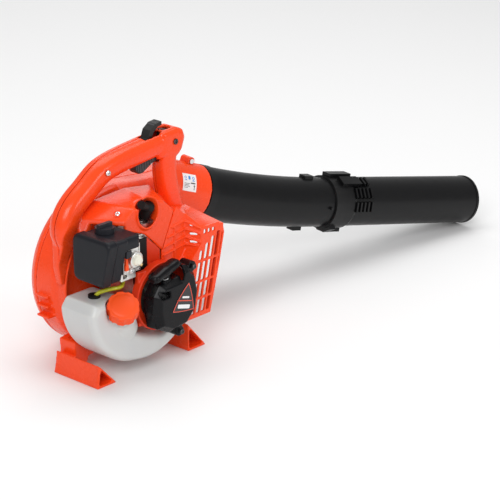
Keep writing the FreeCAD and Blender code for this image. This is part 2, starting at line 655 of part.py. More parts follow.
def engine():
    """Crankcase, cylinder, piston group, bearings, muffler and intake block."""
    y0 = cell("engine_y")
    base, top = cell("cylinder_base"), cell("cylinder_top")
    bore = cell("bore_r") + cell("running_gap")

    case = joined([rod_y(33, -64, -10), block((-24, -56, 100), (24, -12, base))])
    case_cuts = [rod_y(cell("web_r") + 2, -53, -20), rod_y(cell("bearing_r"), -62, -10 + 1).common(
        block((-40, -70, 40), (40, -53, 160))), rod_y(cell("bearing_r"), -20, -11.8), rod_y(9, -70, 0),
        Part.makeCylinder(bore + 1.5, 40, V(0, y0, 100), V(0, 0, 1))]
    feature("crankcase", case.cut(case_cuts))

    barrel = Part.makeCylinder(cell("cylinder_r"), top - base + 6, V(0, y0, base + 0.01))
    fins = []
    for i in range(7):
        z = base + 6 + cell("fin_pitch") * i
        fin = block((-cell("fin_half"), y0 - 20, z), (cell("fin_half"), y0 + 24, z + cell("fin_depth")))
        fins.append(fin)
    flange = block((-24, y0 - 20, base + 0.01), (24, y0 + 24, base + 4))
    exhaust = block((10, y0 - 12, 144), (31, y0 + 12, 164))
    cylinder = joined([barrel, flange, exhaust] + fins)
    intake_space = block((-40, y0 - 15, 145), (-cell("cylinder_r") + 3, y0 + 15, 177))
    cuts = [Part.makeCylinder(bore, top - base - 6, V(0, y0, base - 1)), intake_space,
            Part.makeCylinder(6.5, 30, PLUG_BASE, PLUG_AXIS),
            Part.makeCylinder(13, 30, PLUG_BASE + PLUG_AXIS * 9, PLUG_AXIS),
            Part.makeCylinder(6, 40, V(0, y0, 154), V(1, 0, 0)),
            Part.makeCylinder(6, 40, V(0, y0, 160), V(-1, 0, 0))]
    roof_zone = shroud_roof(-1).cut([shroud_roof(4.2)])
    cylinder = cylinder.cut(cuts + [roof_zone])
    feature("cylinder", max(cylinder.Solids, key=lambda s: s.Volume))

    piston_z = 150
    body = new_body("piston")
    sketch = new_sketch(body, "piston_circle", "XY_Plane", "150")
    add_circle(sketch, 0, y0, "bore_r")
    pad(body, sketch, "piston_pad", 30)
    skirt = new_sketch(body, "piston_hollow", "XY_Plane", "150")
    add_circle(skirt, 0, y0, 13.5)
    pocket(body, skirt, "piston_pocket", 24, True)
    keep(body, "piston")
    feature("piston_pin", Part.makeCylinder(4, 25, V(0, y0 - 12.5, piston_z + 13), ALONG_Y))
    rod_low = CRANK_Z + cell("throw") + cell("crank_pin_r") + 0.8
    rod = joined([block((-5, y0 - 4, rod_low), (5, y0 + 4, piston_z + 8)),
                  Part.makeCylinder(7.5, 8, V(0, y0 - 4, piston_z + 13), ALONG_Y)])
    feature("connecting_rod", rod.cut([Part.makeCylinder(4.05, 30, V(0, y0 - 15, piston_z + 13), ALONG_Y)]))

    webs = [rod_y(cell("web_r"), -51, -44), rod_y(cell("web_r"), -28, -21)]
    pin = rod_y(cell("crank_pin_r"), -46, -26, 0, cell("throw"))
    journals = [rod_y(cell("journal_r"), -74, -44), rod_y(cell("journal_r"), -28, 9)]
    fan_shaft = rod_y(cell("shaft_r"), 5, 74)
    feature("crankshaft", joined(webs + [pin, fan_shaft] + journals))

    inner_r, outer_r, width = cell("journal_r") + 0.02, cell("bearing_r") - 0.02, cell("bearing_width")
    races = [ring_y(outer_r, inner_r, low, low + width) for low in (-61.5, -19.9)]
    feature("main_bearings", Part.makeCompound(races))

    plug = joined([Part.makeCylinder(6.2, 9, PLUG_BASE + PLUG_AXIS, PLUG_AXIS),
                   Part.makeCylinder(8.5, 6, PLUG_BASE + PLUG_AXIS * 10, PLUG_AXIS),
                   Part.makeCylinder(5, 16, PLUG_BASE + PLUG_AXIS * 16, PLUG_AXIS)])
    feature("spark_plug", plug)
    boot = joined([Part.makeCylinder(7.5, 17, BOOT_AT, PLUG_AXIS), Part.makeSphere(8, BOOT_ELBOW),
                   Part.makeCylinder(5.5, 20, BOOT_ELBOW, BOOT_BEND)])
    plug_space = Part.makeCylinder(5.02, 14.1, BOOT_AT - PLUG_AXIS * 0.05, PLUG_AXIS)
    feature("spark_plug_boot", boot.cut([plug_space]))

    muffler = block((33.5, -47, 104), (82, -9, 168))
    muffler = muffler.makeFillet(7, [e for e in muffler.Edges if e.BoundBox.DiagonalLength > 20])
    tail = Part.makeCylinder(6, 10, V(70, -50, 118), V(1, -0.4, -0.3))
    feature("muffler", joined([muffler, tail]).cut([roof_zone]))


def spinning_parts():
    """Flywheel, fan and nut, which turn with the crankshaft."""
    low = cell("flywheel_front")
    high = low + cell("flywheel_width")
    hub_r = cell("journal_r") + 0.02
    wheel = revolved("flywheel", [(hub_r, low), ("flywheel_r", low), ("flywheel_r", high), (30, high),
                                  (30, low + 5), (14, low + 5), (14, high), (hub_r, high)])
    groove = new_sketch(wheel, "fin_gap", "XZ_Plane", "-Dims.flywheel_front - Dims.flywheel_width")
    add_outline(groove, [(33, CRANK_Z - 2.2), (44, CRANK_Z - 2.2), (44, CRANK_Z + 2.2), (33, CRANK_Z + 2.2)])
    gap = pocket(wheel, groove, "fin_gap_cut", 6, True)
    spin = new_sketch(wheel, "spin_axis", "XY_Plane", "Dims.crank_height")
    polar(wheel, [gap], "fin_gaps", (spin, ["V_Axis"]), cell("fin_count"))

    back = cell("impeller_back")
    fan = new_body("fan_impeller")
    disc = new_sketch(fan, "fan_disc", "XZ_Plane", "-Dims.impeller_back - Dims.impeller_disc")
    add_circle(disc, 0, CRANK_Z, "impeller_r")
    add_circle(disc, 0, CRANK_Z, cell("shaft_r") + 0.02)
    pad(fan, disc, "fan_disc_pad", "Dims.impeller_disc")
    hub = new_sketch(fan, "fan_hub", "XZ_Plane", "-Dims.impeller_back - Dims.impeller_hub_length")
    add_circle(hub, 0, CRANK_Z, "impeller_hub_r")
    add_circle(hub, 0, CRANK_Z, cell("shaft_r") + 0.02)
    pad(fan, hub, "fan_hub_pad", "Dims.impeller_hub_length")
    blade = new_sketch(fan, "fan_blade", "XZ_Plane", "-Dims.impeller_back - Dims.blade_depth")
    thick = cell("blade_thick")
    inner, outer = 34.0, cell("impeller_r") - 0.5
    add_outline(blade, [(inner, CRANK_Z), (57, CRANK_Z + 9), (outer - 3, CRANK_Z + 22),
                        (outer - 3.6, CRANK_Z + 22 + thick), (56, CRANK_Z + 9 + thick),
                        (inner - 1, CRANK_Z + thick)])
    vane = pad(fan, blade, "fan_blade_pad", "Dims.blade_depth")
    fan_axis = new_sketch(fan, "fan_axis", "XY_Plane", "Dims.crank_height")
    polar(fan, [vane], "fan_blades", (fan_axis, ["V_Axis"]), cell("blade_count"))
    keep(fan, "fan_impeller")

    start = back + cell("impeller_hub_length")
    points = [on_crank(start, cell("nut_r") * math.cos(math.radians(60 * i)),
                       cell("nut_r") * math.sin(math.radians(60 * i))) for i in range(6)]
    nut = Part.Face(Part.makePolygon(points + [points[0]])).extrude(V(0, cell("nut_length"), 0))
    feature("fan_nut", nut.cut([rod_y(cell("shaft_r") + 0.01, start - 1, start + 20)]))


# ---------------------------------------------------------------- intake, fuel and ignition

HOSE_ROUTE = [(-91, -45, 104), (-91, -47, 122), (-82, -63, 130), (-65, -67, 128), (-51, -57, 127),
              (-46, -50, 143)]


def intake():
    """Insulator and carburettor with its primer bulb, limiter and throttle lever."""
    y0, axis_z = cell("engine_y"), cell("carb_z")
    throat = Part.makeCylinder(7, 80, V(-90, y0, axis_z), V(1, 0, 0))
    insulator = block((-30.2, y0 - 14, 146), (-18.3, y0 + 14, 176)).cut(
        [throat, Part.makeCylinder(cell("cylinder_r") + 0.1, 60, V(0, y0, 130))])
    feature("intake_insulator", max(insulator.Solids, key=lambda s: s.Volume))

    bulb_x, bulb_z, bulb_r = -50, 165, 8.4
    carb = joined([block((-64, -66, 144), (-30.5, -22, 178)), block((-67, -75, 147), (-38, -60, 184)),
                   block((-70, -73, 138), (-44, -50, 147.5)), block((-62, -64, 176), (-54, -28, 182)),
                   Part.makeCylinder(bulb_r + 1.6, 8, V(bulb_x, -81, bulb_z), ALONG_Y),
                   Part.makeCylinder(4, 6, V(-55, -79, 151), ALONG_Y),
                   Part.makeCylinder(5, 10, V(-38, -58, 176)), Part.makeCylinder(3.6, 6, V(-43, -66, 183))])
    hose_end, hose_before = V(*HOSE_ROUTE[-1]), V(*HOSE_ROUTE[-2])
    inward = hose_end - hose_before
    inward.normalize()
    hood_space = block((-80, -92, 182.4), (-48.4, -20, 210))
    carb = carb.cut([throat, hood_space, block((-66, -80, 141), (-59, -64, 148)),
                     Part.makeCylinder(2.2, 9, V(-55, -80, 151), ALONG_Y),
                     Part.makeCylinder(cell("hose_r") + 0.03, 12, hose_end - inward * 12, inward),
                     Part.makeCylinder(bulb_r, 4, V(bulb_x, -81.1, bulb_z), ALONG_Y)])
    feature("carburetor_body", carb)

    bulb = new_body("primer_bulb")
    sketch = new_sketch(bulb, "bulb_profile", "XY_Plane")
    add_outline(sketch, [(0, -80.5), (8, -80.5), (8, -82.2), (7, -85.4), (4.4, -88), (0, -89)])
    sketch.AttachmentOffset = FreeCAD.Placement(V(bulb_x, 0, bulb_z), FreeCAD.Rotation())
    turn = bulb.newObject("PartDesign::Revolution", "bulb_turn")
    turn.Profile = sketch
    turn.ReferenceAxis = (sketch, ["V_Axis"])
    turn.Angle = 360
    doc.recompute()
    keep(bulb, "primer_bulb")

    feature("mixture_limiter", joined([Part.makeCylinder(3.4, 3.4, V(-64, -78.4, 172), ALONG_Y),
                                       block((-65.6, -78.4, 156), (-62, -75.3, 172)),
                                       block((-66.6, -78.4, 153), (-61, -75.3, 160))]))
    feature("throttle_lever", joined([Part.makeCylinder(4.2, 2, V(-38, -58, 186.3)),
                                      block((-39.5, -58, 186.3), (-36.5, -40, 188.3)),
                                      Part.makeCylinder(3, 2, V(-38, -40, 186.3))]))


def air_cleaner():
    """Box behind the carburettor: base with its hood, removable cover, filter, knob and choke lever."""
    y0, axis_z = cell("engine_y"), cell("carb_z")
    back, front, low, high = cell("box_back"), cell("box_front"), cell("box_low"), cell("box_high")
    throat = Part.makeCylinder(7, 80, V(-90, y0, axis_z), V(1, 0, 0))

    def near_slope(inset):
        """The space outside the box's near side, which leans in towards its foot."""
        points = [(-120, low - 20), (-70 + inset, low - 20), (-76 + inset, low), (-92 + inset, high),
                  (-92 + inset, high + 20), (-120, high + 20)]
        corners = [V(back - 10, y, z) for y, z in points]
        return Part.Face(Part.makePolygon(corners + corners[:1])).extrude(V(80, 0, 0))

    base = block((front + GAP, -92, low + 2), (-73, -24, high - 2))
    base = base.makeFillet(9, [e for e in base.Edges if e.BoundBox.XLength > 10])
    hood = block((-80, -89, high - 20), (-49, -26, high - 2))
    hood = hood.makeFillet(6, [e for e in hood.Edges if e.BoundBox.ZLength > 10 or e.BoundBox.XLength > 25])
    neck = Part.makeCylinder(12, 12, V(-76, y0, axis_z), V(1, 0, 0))
    hollow = block((front, -88, low + 5), (-76, -27, high - 5)).cut(near_slope(WALL + 0.6))
    base = joined([base, hood]).cut([hollow, block((-82, -86, high - 17), (-52, -29, high - 5))])
    base = joined([base, neck]).cut([throat, near_slope(0.6)])
    feature("air_cleaner_base", max(base.Solids, key=lambda s: s.Volume))

    cover = block((back, -92, low), (front, -22, high))
    cover = cover.makeFillet(11, [e for e in cover.Edges if e.BoundBox.XLength > 10])
    cover = cover.makeFillet(5, [e for e in cover.Edges if e.BoundBox.XMax < back + 0.1])
    cavity = block((back + 3, -89, low + 3), (front + 1, -25, high - 3))
    cavity = cavity.makeFillet(8, [e for e in cavity.Edges if e.BoundBox.XLength > 10]).cut(near_slope(WALL))
    feature("air_cleaner_cover", cover.cut([near_slope(0), cavity]))
    element = block((back + 4, -74, low + 8), (-80, -30, high - 9))
    feature("air_filter", element.makeFillet(5, [e for e in element.Edges if e.BoundBox.XLength > 15]))

    knob = new_body("air_cleaner_knob")
    knob_x, knob_y, knob_r, knob_low = -74.5, -50, 12.5, high - 1.7
    disc = new_sketch(knob, "knob_circle", "XY_Plane", str(knob_low))
    add_circle(disc, knob_x, knob_y, knob_r)
    pad(knob, disc, "knob_pad", 7)
    grip = new_sketch(knob, "knob_grip", "XY_Plane", str(knob_low + 7))
    add_outline(grip, [(knob_x - 11, knob_y - 3), (knob_x + 11, knob_y - 3), (knob_x + 11, knob_y + 3),
                       (knob_x - 11, knob_y + 3)])
    pad(knob, grip, "knob_grip_pad", 5)
    keep(knob, "air_cleaner_knob")
    choke = joined([block((-69.8, -66, 170), (-67.6, -46, 176)), block((-70.6, -85, 172.5), (-67.6, -62, 176)),
                    block((-70.6, -85, 173), (-62, -82.5, 182)),
                    Part.makeCylinder(4, 2.2, V(-69.8, -50, 173), V(1, 0, 0))])
    feature("choke_lever", choke)


def tank():
    """The crescent fuel tank with its neck, cap, seal, grommet, hose and filter."""
    near, far, wall = cell("tank_near"), cell("tank_far"), cell("tank_wall")

    def outline(y, inset):
        """The crescent's outline at one Y, drawn in by an inset."""
        def at(x, z):
            return V(x, y, z)
        tip_x = 56 - inset * 2
        bottom = Part.Arc(at(-121 + inset, 104), at(-98 + inset * 0.8, 48 + inset * 0.7), at(-43, 21 + inset))
        front = Part.Arc(at(-43, 21 + inset), at(14 - inset, 25 + inset), at(tip_x, 58 + inset * 0.2))
        tip = Part.LineSegment(at(tip_x, 58 + inset * 0.2), at(tip_x - 5, 63 - inset * 0.3))
        hollow = Part.Arc(at(tip_x - 5, 63 - inset * 0.3), at(-8, 48 - inset), at(-57 - inset, 76))
        riser = Part.LineSegment(at(-57 - inset, 76), at(-60 - inset, 110 - inset))
        crest = Part.LineSegment(at(-60 - inset, 110 - inset), at(-67 - inset, 117 - inset))
        top = Part.LineSegment(at(-67 - inset, 117 - inset), at(-112 + inset, 117 - inset))
        back = Part.LineSegment(at(-112 + inset, 117 - inset), at(-121 + inset, 104))
        parts = [bottom, front, tip, hollow, riser, crest, top, back]
        return Part.Wire([p.toShape() for p in parts])

    def crescent(low, high, inset):
        """A stack of outlines whose near and far edges are rounded."""
        steps = ((low, 7), (low + 1.5, 4), (low + 4, 1.8), (low + 8, 0.4), (low + 11, 0),
                 (high - 7, 0), (high - 2, 1.4), (high, 4))
        return Part.makeLoft([outline(y, inset + depth) for y, depth in steps], True, True)

    azimuth, elevation = math.radians(cell("cap_azimuth")), math.radians(cell("cap_elevation"))
    level = math.cos(elevation)
    axis = V(math.cos(azimuth) * level, math.sin(azimuth) * level, math.sin(elevation))
    cap_at = V(cell("cap_x"), cell("cap_y"), cell("cap_z"))
    mouth = cap_at - axis * 6
    neck_r = cell("neck_r")
    recess = Part.makeCylinder(22.5, 40, mouth - axis * 2, axis)
    outer = crescent(near, far, 0).cut(recess)
    neck_root = mouth - axis * 40
    outer = joined([outer, Part.makeCone(neck_r + 9, neck_r + 3, 26, neck_root, axis),
                    Part.makeCylinder(neck_r, 46, mouth - axis * 38, axis)])
    inner_recess = Part.makeCylinder(22.5 + wall, 50, mouth - axis * (2 + wall), axis)
    inner = crescent(near + wall, far - wall, wall).cut(inner_recess)
    neck_bore = Part.makeCylinder(neck_r - 2.5, 60, mouth - axis * 32, axis)
    starter_space = rod_y(cell("starter_r") + 7, -110, -60, cell("starter_x"))
    grommet_at = V(-91, -45, 110)
    tank_solid = outer.cut([inner, neck_bore, Part.makeCylinder(5, 20, grommet_at), starter_space])
    feature("fuel_tank", max(tank_solid.Solids, key=lambda s: s.Volume))

    feature("fuel_cap_seal", Part.makeCylinder(neck_r, 1.9, mouth + axis * 8.3, axis).cut(
        [Part.makeCylinder(neck_r - 3.5, 4, mouth + axis * 7, axis)]))

    cap_body = new_body("fuel_cap")
    ring = new_sketch(cap_body, "cap_outline", "XY_Plane")
    lobes = int(cell("cap_lobes"))
    height = cell("cap_height")
    add_circle(ring, 0, 0, "cap_r")
    pad(cap_body, ring, "cap_pad", "Dims.cap_height")
    scallop = new_sketch(cap_body, "cap_scallop", "XY_Plane")
    add_circle(scallop, cell("cap_r") + 4.2, 0, 5.5)
    bite = pocket(cap_body, scallop, "cap_bite", height, True)
    polar(cap_body, [bite], "cap_bites", (ring, ["N_Axis"]), lobes)
    hollow = new_sketch(cap_body, "cap_hollow", "XY_Plane")
    add_circle(hollow, 0, 0, neck_r + 0.35)
    cut = pocket(cap_body, hollow, "cap_hollow_cut", 11, True)
    cap_body.Tip = cut
    doc.recompute()
    cap_body.Label = "fuel_cap"
    turn = FreeCAD.Rotation(V(0, 0, 1), axis)
    start = mouth - axis * 0.8
    cap_body.Placement = HOME.multiply(FreeCAD.Placement(start, turn))
    sub_parts.append(("fuel_cap", cap_body))

    top_z = 117
    grommet = joined([Part.makeCylinder(4.95, 10, V(-91, -45, top_z - 6)),
                      Part.makeCylinder(8, 3.5, V(-91, -45, top_z))])
    hose_r = cell("hose_r")
    feature("fuel_grommet", grommet.cut([Part.makeCylinder(hose_r + 0.05, 30, V(-91, -45, 100))]))
    feature("fuel_hose", tube_along(HOSE_ROUTE, hose_r, "fuel_hose"))
    feature("fuel_filter", Part.makeCylinder(7, 22, V(-91, -45, 81.5)))


def ignition():
    """The coil over the flywheel."""
    top = CRANK_Z + cell("flywheel_r") + 0.6
    coil = joined([block((-18, -4, top), (18, 6, top + 6)), block((-13, -6, top + 5), (13, 7.5, top + 26))])
    feature("ignition_coil", coil)


# ---------------------------------------------------------------- covers and starter

def engine_cover():
    """The louvred cover round the muffler: a deep side, a ramp out to the slotted outer panel, and a top."""
    outer_y, deep_y, thick = cell("cover_outer"), cell("cover_deep"), cell("cover_thick")
    lean, foot_z, slot_r = 0.225, 76, 3.2
    outline = [(42, 52), (87, 52), (97, 86), (107, 124), (115, 158), (113, 168), (104, 175), (74, 175),
               (70, 152), (54, 136), (50, 112), (48, 80)]
    panel = prism_y(outline, outer_y, outer_y + thick)
    slots = []
    rows = ((58, foot_z), (foot_z + 3, 99), (102, 127))
    for i, arch in enumerate((140, 148, 155, 160, 164)):
        for low, high in rows + ((130, arch),):
            ends = [(53.5 + 9.5 * i + lean * (z - foot_z), z) for z in (low, high)]
            slots.append(prism_y(ends + [(x + 2 * slot_r, z) for x, z in reversed(ends)],
                                 outer_y - 1, outer_y + thick + 1))
            if high == arch:
                arch_at = V(ends[1][0] + slot_r, outer_y - 1, high)
                slots.append(Part.makeCylinder(slot_r, thick + 2, arch_at, ALONG_Y))
    vents = [block((76 + 8 * i, outer_y - 1, 165), (81 + 8 * i, outer_y + thick + 1, 171)) for i in range(3)]
    panel = panel.cut(slots + vents)

    side_outline = [(16, 138), (17, 155), (44, 206), (60, 193), (60, 145), (46, 126)]
    side = prism_y(side_outline, deep_y, deep_y + thick)
    ridge_x, panel_x = 59, 71
    ramp = slab([(ridge_x, deep_y, 193), (ridge_x, deep_y, 145), (45, deep_y, 126), (48, deep_y, 124),
                 (ridge_x + thick, deep_y, 143), (ridge_x + thick, deep_y, 193)],
                [(panel_x, outer_y, 175), (panel_x, outer_y, 152), (54, outer_y, 136), (57, outer_y, 134),
                 (panel_x + thick, outer_y, 150), (panel_x + thick, outer_y, 175)])
    ribs = []
    proud, rib = 2.2, 2.4
    for ridge_z, panel_z, left_x in ((183, 173, 34), (172, 166, 27), (161, 154.5, 21), (151, 148, 18)):
        left_z = ridge_z - 0.14 * (ridge_x - left_x)
        ribs.append(prism_y([(left_x, left_z), (ridge_x, ridge_z), (ridge_x, ridge_z + rib),
                             (left_x, left_z + rib)], deep_y - proud, deep_y + 1))
        ribs.append(slab([(ridge_x - proud, deep_y, ridge_z), (ridge_x + 1, deep_y, ridge_z),
                          (ridge_x + 1, deep_y, ridge_z + rib), (ridge_x - proud, deep_y, ridge_z + rib)],
                         [(panel_x - proud, outer_y, panel_z), (panel_x + 1, outer_y, panel_z),
                          (panel_x + 1, outer_y, panel_z + rib), (panel_x - proud, outer_y, panel_z + rib)]))
    ribs.append(block((38, deep_y - proud, 133), (38 + rib, deep_y + 1, 181)))
    louvres = [block((55, deep_y - 14, low), (80, deep_y - 4.5, low + 3)) for low in (176.4, 164.4, 153.4)]
    ramp = ramp.cut(louvres)
    top = slab([(38, deep_y, 198), (62, deep_y, 190), (62, deep_y, 193), (38, deep_y, 201)],
               [(38, -6, 192), (110, -6, 180), (110, -6, 183), (38, -6, 195)])
    top_front = slab([(59, deep_y, 190), (59, deep_y, 193), (71, outer_y, 175), (71, outer_y, 172)],
                     [(110, -6, 180), (110, -6, 183), (113.5, outer_y, 171), (113.5, outer_y, 168)])
    edge = outline[1:6] + [(110, 167), (112, 158), (104, 124), (94, 86), (84, 52)]
    rim = prism_y(edge, outer_y, outer_y + 12)
    cover = joined([panel, side, ramp, top, top_front, rim] + ribs)
    cover = cover.cut([HANDLE_OUTER, shroud_roof(0), block((60, -12, 150), (140, 20, 200))])
    feature("engine_cover", max(cover.Solids, key=lambda s: s.Volume))


def starter_shroud():
    """The ring behind the starter, the wall beside the carburettor and its heat shield."""
    ring = joined([ring_y(46, 43.4, -76.5, -64.3), ring_y(46, 30, -67, -64.3),
                   prism_y([(-38, 66), (-16, 66), (-16, 140), (-38, 140)], -71, -64.3)])
    wall = prism_y([(-10.5, 112), (-10.5, 186), (12, 182), (14.5, 156), (14.5, 136.5), (31, 128), (31, 120)],
                   -59, -57)
    wall_foot = prism_y([(-8, 126), (-8, 142), (14, 138), (30, 127)], -66, -57)
    shroud = joined([ring, wall, wall_foot])
    bounded = shroud.cut([rod_y(33.3, -80, -56), block((-40, -80, 0), (60, -60, 56)), shroud_roof(0)])
    feature("starter_shroud", max(bounded.Solids, key=lambda s: s.Volume))
    plate = block((-28.5, -60.5, 108), (-11, -59, 180))
    tab = block((-28.5, -60.5, 108), (-27, -52, 140))
    feature("heat_shield", joined([plate, tab]).cut([shroud_roof(0), rod_y(33.6, -70, 0)]))


def starter():
    """Recoil starter: housing, pulley, spring, rope and T grip."""
    face, back, radius = cell("starter_face"), cell("starter_back"), cell("starter_r")
    rope_x, rope_y = cell("rope_x"), cell("rope_y")
    mid_x = cell("starter_x")
    eyelet_z = 126
    pull = V(-0.2, -0.08, 0.98)
    pull.normalize()
    eyelet = V(rope_x, rope_y, eyelet_z)
    outline = [(-30, 66), (-36, 90), (-35, 112), (-24, 127), (15, 130), (19, 143), (26, 142), (40, 128),
               (46, 104), (40, 76), (22, 58), (-8, 55)]

    def section(y, inset):
        points = []
        for x, z in outline:
            reach = math.hypot(x - mid_x, z - CRANK_Z)
            share = 1 - inset / reach
            points.append((mid_x + (x - mid_x) * share, y, CRANK_Z + (z - CRANK_Z) * share))
        return points

    shell = slab(section(back, 0), section(face + 9, 1)).fuse(slab(section(face + 9, 1), section(face, 9)))
    hollow = slab(section(back + 1, 3), section(face + 10, 4)).fuse(
        slab(section(face + 10, 4), section(face + 3, 13)))
    collar = Part.makeCylinder(7.5, 2.6, eyelet + pull * 2.4, pull)
    boss = Part.makeCylinder(7, 22.9, V(8, face + 3, 55), ALONG_Y)
    lug = Part.makeCylinder(7, 18.9, V(36, face + 7, 136), ALONG_Y)
    solid = joined([shell, collar, boss, lug]).cut([hollow])
    post = rod_y(5.95, face + 1, back - 1)
    rope_hole = Part.makeCylinder(cell("rope_r") + 0.8, 60, eyelet - pull * 24, pull)
    window = block((-27, face - 1, 108), (-11, face + 8, 117))
    solid = joined([solid, post]).cut([rope_hole, window])
    feature("starter_housing", max(solid.Solids, key=lambda s: s.Volume))

    pulley_low, pulley_high = cell("pulley_y") - 5, cell("pulley_y") + 5
    groove_r, groove_low, groove_high = 19, pulley_low + 2, pulley_high - 2
    revolved("starter_pulley", [(6, pulley_low), ("pulley_r", pulley_low), ("pulley_r", groove_low),
                                (groove_r, groove_low), (groove_r, groove_high), ("pulley_r", groove_high),
                                ("pulley_r", pulley_high), (6, pulley_high)])
    feature("starter_rope_wound", ring_y(23, groove_r + 0.02, groove_low + 0.02, groove_high - 0.02))
    feature("rewind_spring", ring_y(18, 8, face + 6, pulley_low - 0.6))
    grip_start = eyelet + pull * 7
    feature("starter_rope_run", Part.makeCylinder(cell("rope_r"), 13.5, eyelet, pull))

    half = cell("grip_length") / 2
    along = V(pull.z, 0.12, -pull.x)
    along.normalize()
    side = along.cross(pull)
    side.normalize()
    centre = grip_start + pull * 9
    sections = []
    for share, a, b in ((-1, 4, 3), (-0.93, 7, 4.8), (-0.5, 8.5, 6.2), (0, 9, 7), (0.5, 8.5, 6.2),
                        (0.93, 7, 4.8), (1, 4, 3)):
        sections.append(egg_wire(centre + along * (half * share), side, pull, a, b, 2.6, 16))
    bar = Part.makeLoft(sections, True, False)
    neck = Part.makeCone(7, 5, 9, grip_start, pull)
    rope_space = Part.makeCylinder(cell("rope_r") + 0.02, 9, grip_start - pull * 2, pull)
    feature("starter_grip", joined([bar, neck]).cut([rope_space]))

    heads = [Part.makeCylinder(3.4, 2.5, V(x, y, z), ALONG_Y)
             for x, y, z in ((8, face + 0.4, 55), (36, face + 4.4, 136))]
    feature("starter_screws", Part.makeCompound(heads))
    badge = prism_y([(-9, 86), (22, 121), (31, 80)], face - 0.9, face - 0.05)
    feature("starter_badge", badge)


def housing_screws():
    """The countersunk screws that hold the handle halves together."""
    heads = [Part.makeCylinder(cell("screw_r"), 2, V(x, y - 0.8, z), ALONG_Y) for x, y, z in SCREW_PLACES]
    feature("housing_screws", Part.makeCompound(heads))


housing_halves()
intake_grille()
elbow_pipe()
front_pipe()
outlet_fittings()
handles()
controls()
engine()
spinning_parts()
intake()
air_cleaner()
tank()
ignition()
engine_cover()
starter_shroud()
starter()
housing_screws()
doc.recompute()

faults = []
for item in doc.Objects:
    if "Invalid" in item.State or "Error" in item.State:
        faults.append(item.Name + " " + str(item.State))
for name, item in sub_parts:
    if item.Shape.isNull() or not item.Shape.isValid() or not item.Shape.Solids:
        faults.append(name + " has no valid solid")
if faults:
    raise RuntimeError("; ".join(faults))

os.makedirs("parts", exist_ok=True)
for name, item in sub_parts:
    item.Shape.exportStep("parts/%s.step" % name)
box = FreeCAD.BoundBox()
for name, item in sub_parts:
    box.add(item.Shape.BoundBox)
print(len(sub_parts), "sub-parts; X", round(box.XMin, 1), round(box.XMax, 1), "Y", round(box.YMin, 1),
      round(box.YMax, 1), "Z", round(box.ZMin, 1), round(box.ZMax, 1))
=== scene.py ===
import json
import math

import bmesh
import bpy
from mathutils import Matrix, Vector


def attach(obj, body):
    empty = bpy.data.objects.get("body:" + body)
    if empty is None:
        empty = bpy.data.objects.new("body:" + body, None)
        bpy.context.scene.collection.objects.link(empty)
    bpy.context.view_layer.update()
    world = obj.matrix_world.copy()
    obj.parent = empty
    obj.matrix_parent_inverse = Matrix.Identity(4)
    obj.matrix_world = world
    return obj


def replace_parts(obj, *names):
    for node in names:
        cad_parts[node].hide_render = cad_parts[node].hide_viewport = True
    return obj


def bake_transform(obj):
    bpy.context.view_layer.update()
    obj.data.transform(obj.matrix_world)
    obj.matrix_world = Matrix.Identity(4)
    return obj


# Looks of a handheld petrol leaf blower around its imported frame, in metres.
# Places are given from the crank axis, whose position comes from the frame's own joint.

MM = 0.001
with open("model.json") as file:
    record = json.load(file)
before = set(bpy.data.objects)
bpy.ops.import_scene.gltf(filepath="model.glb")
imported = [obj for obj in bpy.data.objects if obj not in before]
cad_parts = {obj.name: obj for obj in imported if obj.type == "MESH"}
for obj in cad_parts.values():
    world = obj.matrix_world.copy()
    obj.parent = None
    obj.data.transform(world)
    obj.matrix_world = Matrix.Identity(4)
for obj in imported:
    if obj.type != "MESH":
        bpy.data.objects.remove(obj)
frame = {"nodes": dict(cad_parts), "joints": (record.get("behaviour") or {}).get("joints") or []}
NODES = frame["nodes"]
JOINTS = {joint["name"]: joint for joint in frame["joints"]}
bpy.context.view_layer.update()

CRANK = Vector(JOINTS["crank_spin"]["pos_m"])
GROUND = Vector((CRANK.x, CRANK.y, 0.0))


def at(x, y, z):
    """A place in millimetres from the point of the ground under the crank axis, in the frame's metres."""
    return GROUND + Vector((x, y, z)) * MM


# ---------------------------------------------------------------- camera, light and floor

VIEW_AZIMUTH, VIEW_ELEVATION = -47.8, 20.5
VIEW_DISTANCE = 2.6
FOCAL_LENGTH = 140.2
VIEW_CENTRE = at(149, -93.9, 126.4)


def make_camera():
    data = bpy.data.cameras.new("camera")
    data.lens = FOCAL_LENGTH
    data.sensor_width = 36
    camera = bpy.data.objects.new("camera", data)
    bpy.context.scene.collection.objects.link(camera)
    azimuth, elevation = math.radians(VIEW_AZIMUTH), math.radians(VIEW_ELEVATION)
    back = Vector((math.sin(azimuth) * math.cos(elevation), -math.cos(azimuth) * math.cos(elevation),
                   math.sin(elevation)))
    camera.location = VIEW_CENTRE + back * VIEW_DISTANCE
    camera.rotation_euler = (math.pi / 2 - elevation, 0, azimuth)
    bpy.context.scene.camera = camera


def soft_light(name, place, target, size, power):
    data = bpy.data.lights.new(name, "AREA")
    data.shape = "RECTANGLE"
    data.size, data.size_y = size
    data.energy = power
    lamp = bpy.data.objects.new(name, data)
    bpy.context.scene.collection.objects.link(lamp)
    lamp.location = place
    lamp.rotation_euler = (Vector(target) - Vector(place)).to_track_quat("-Z", "Y").to_euler()


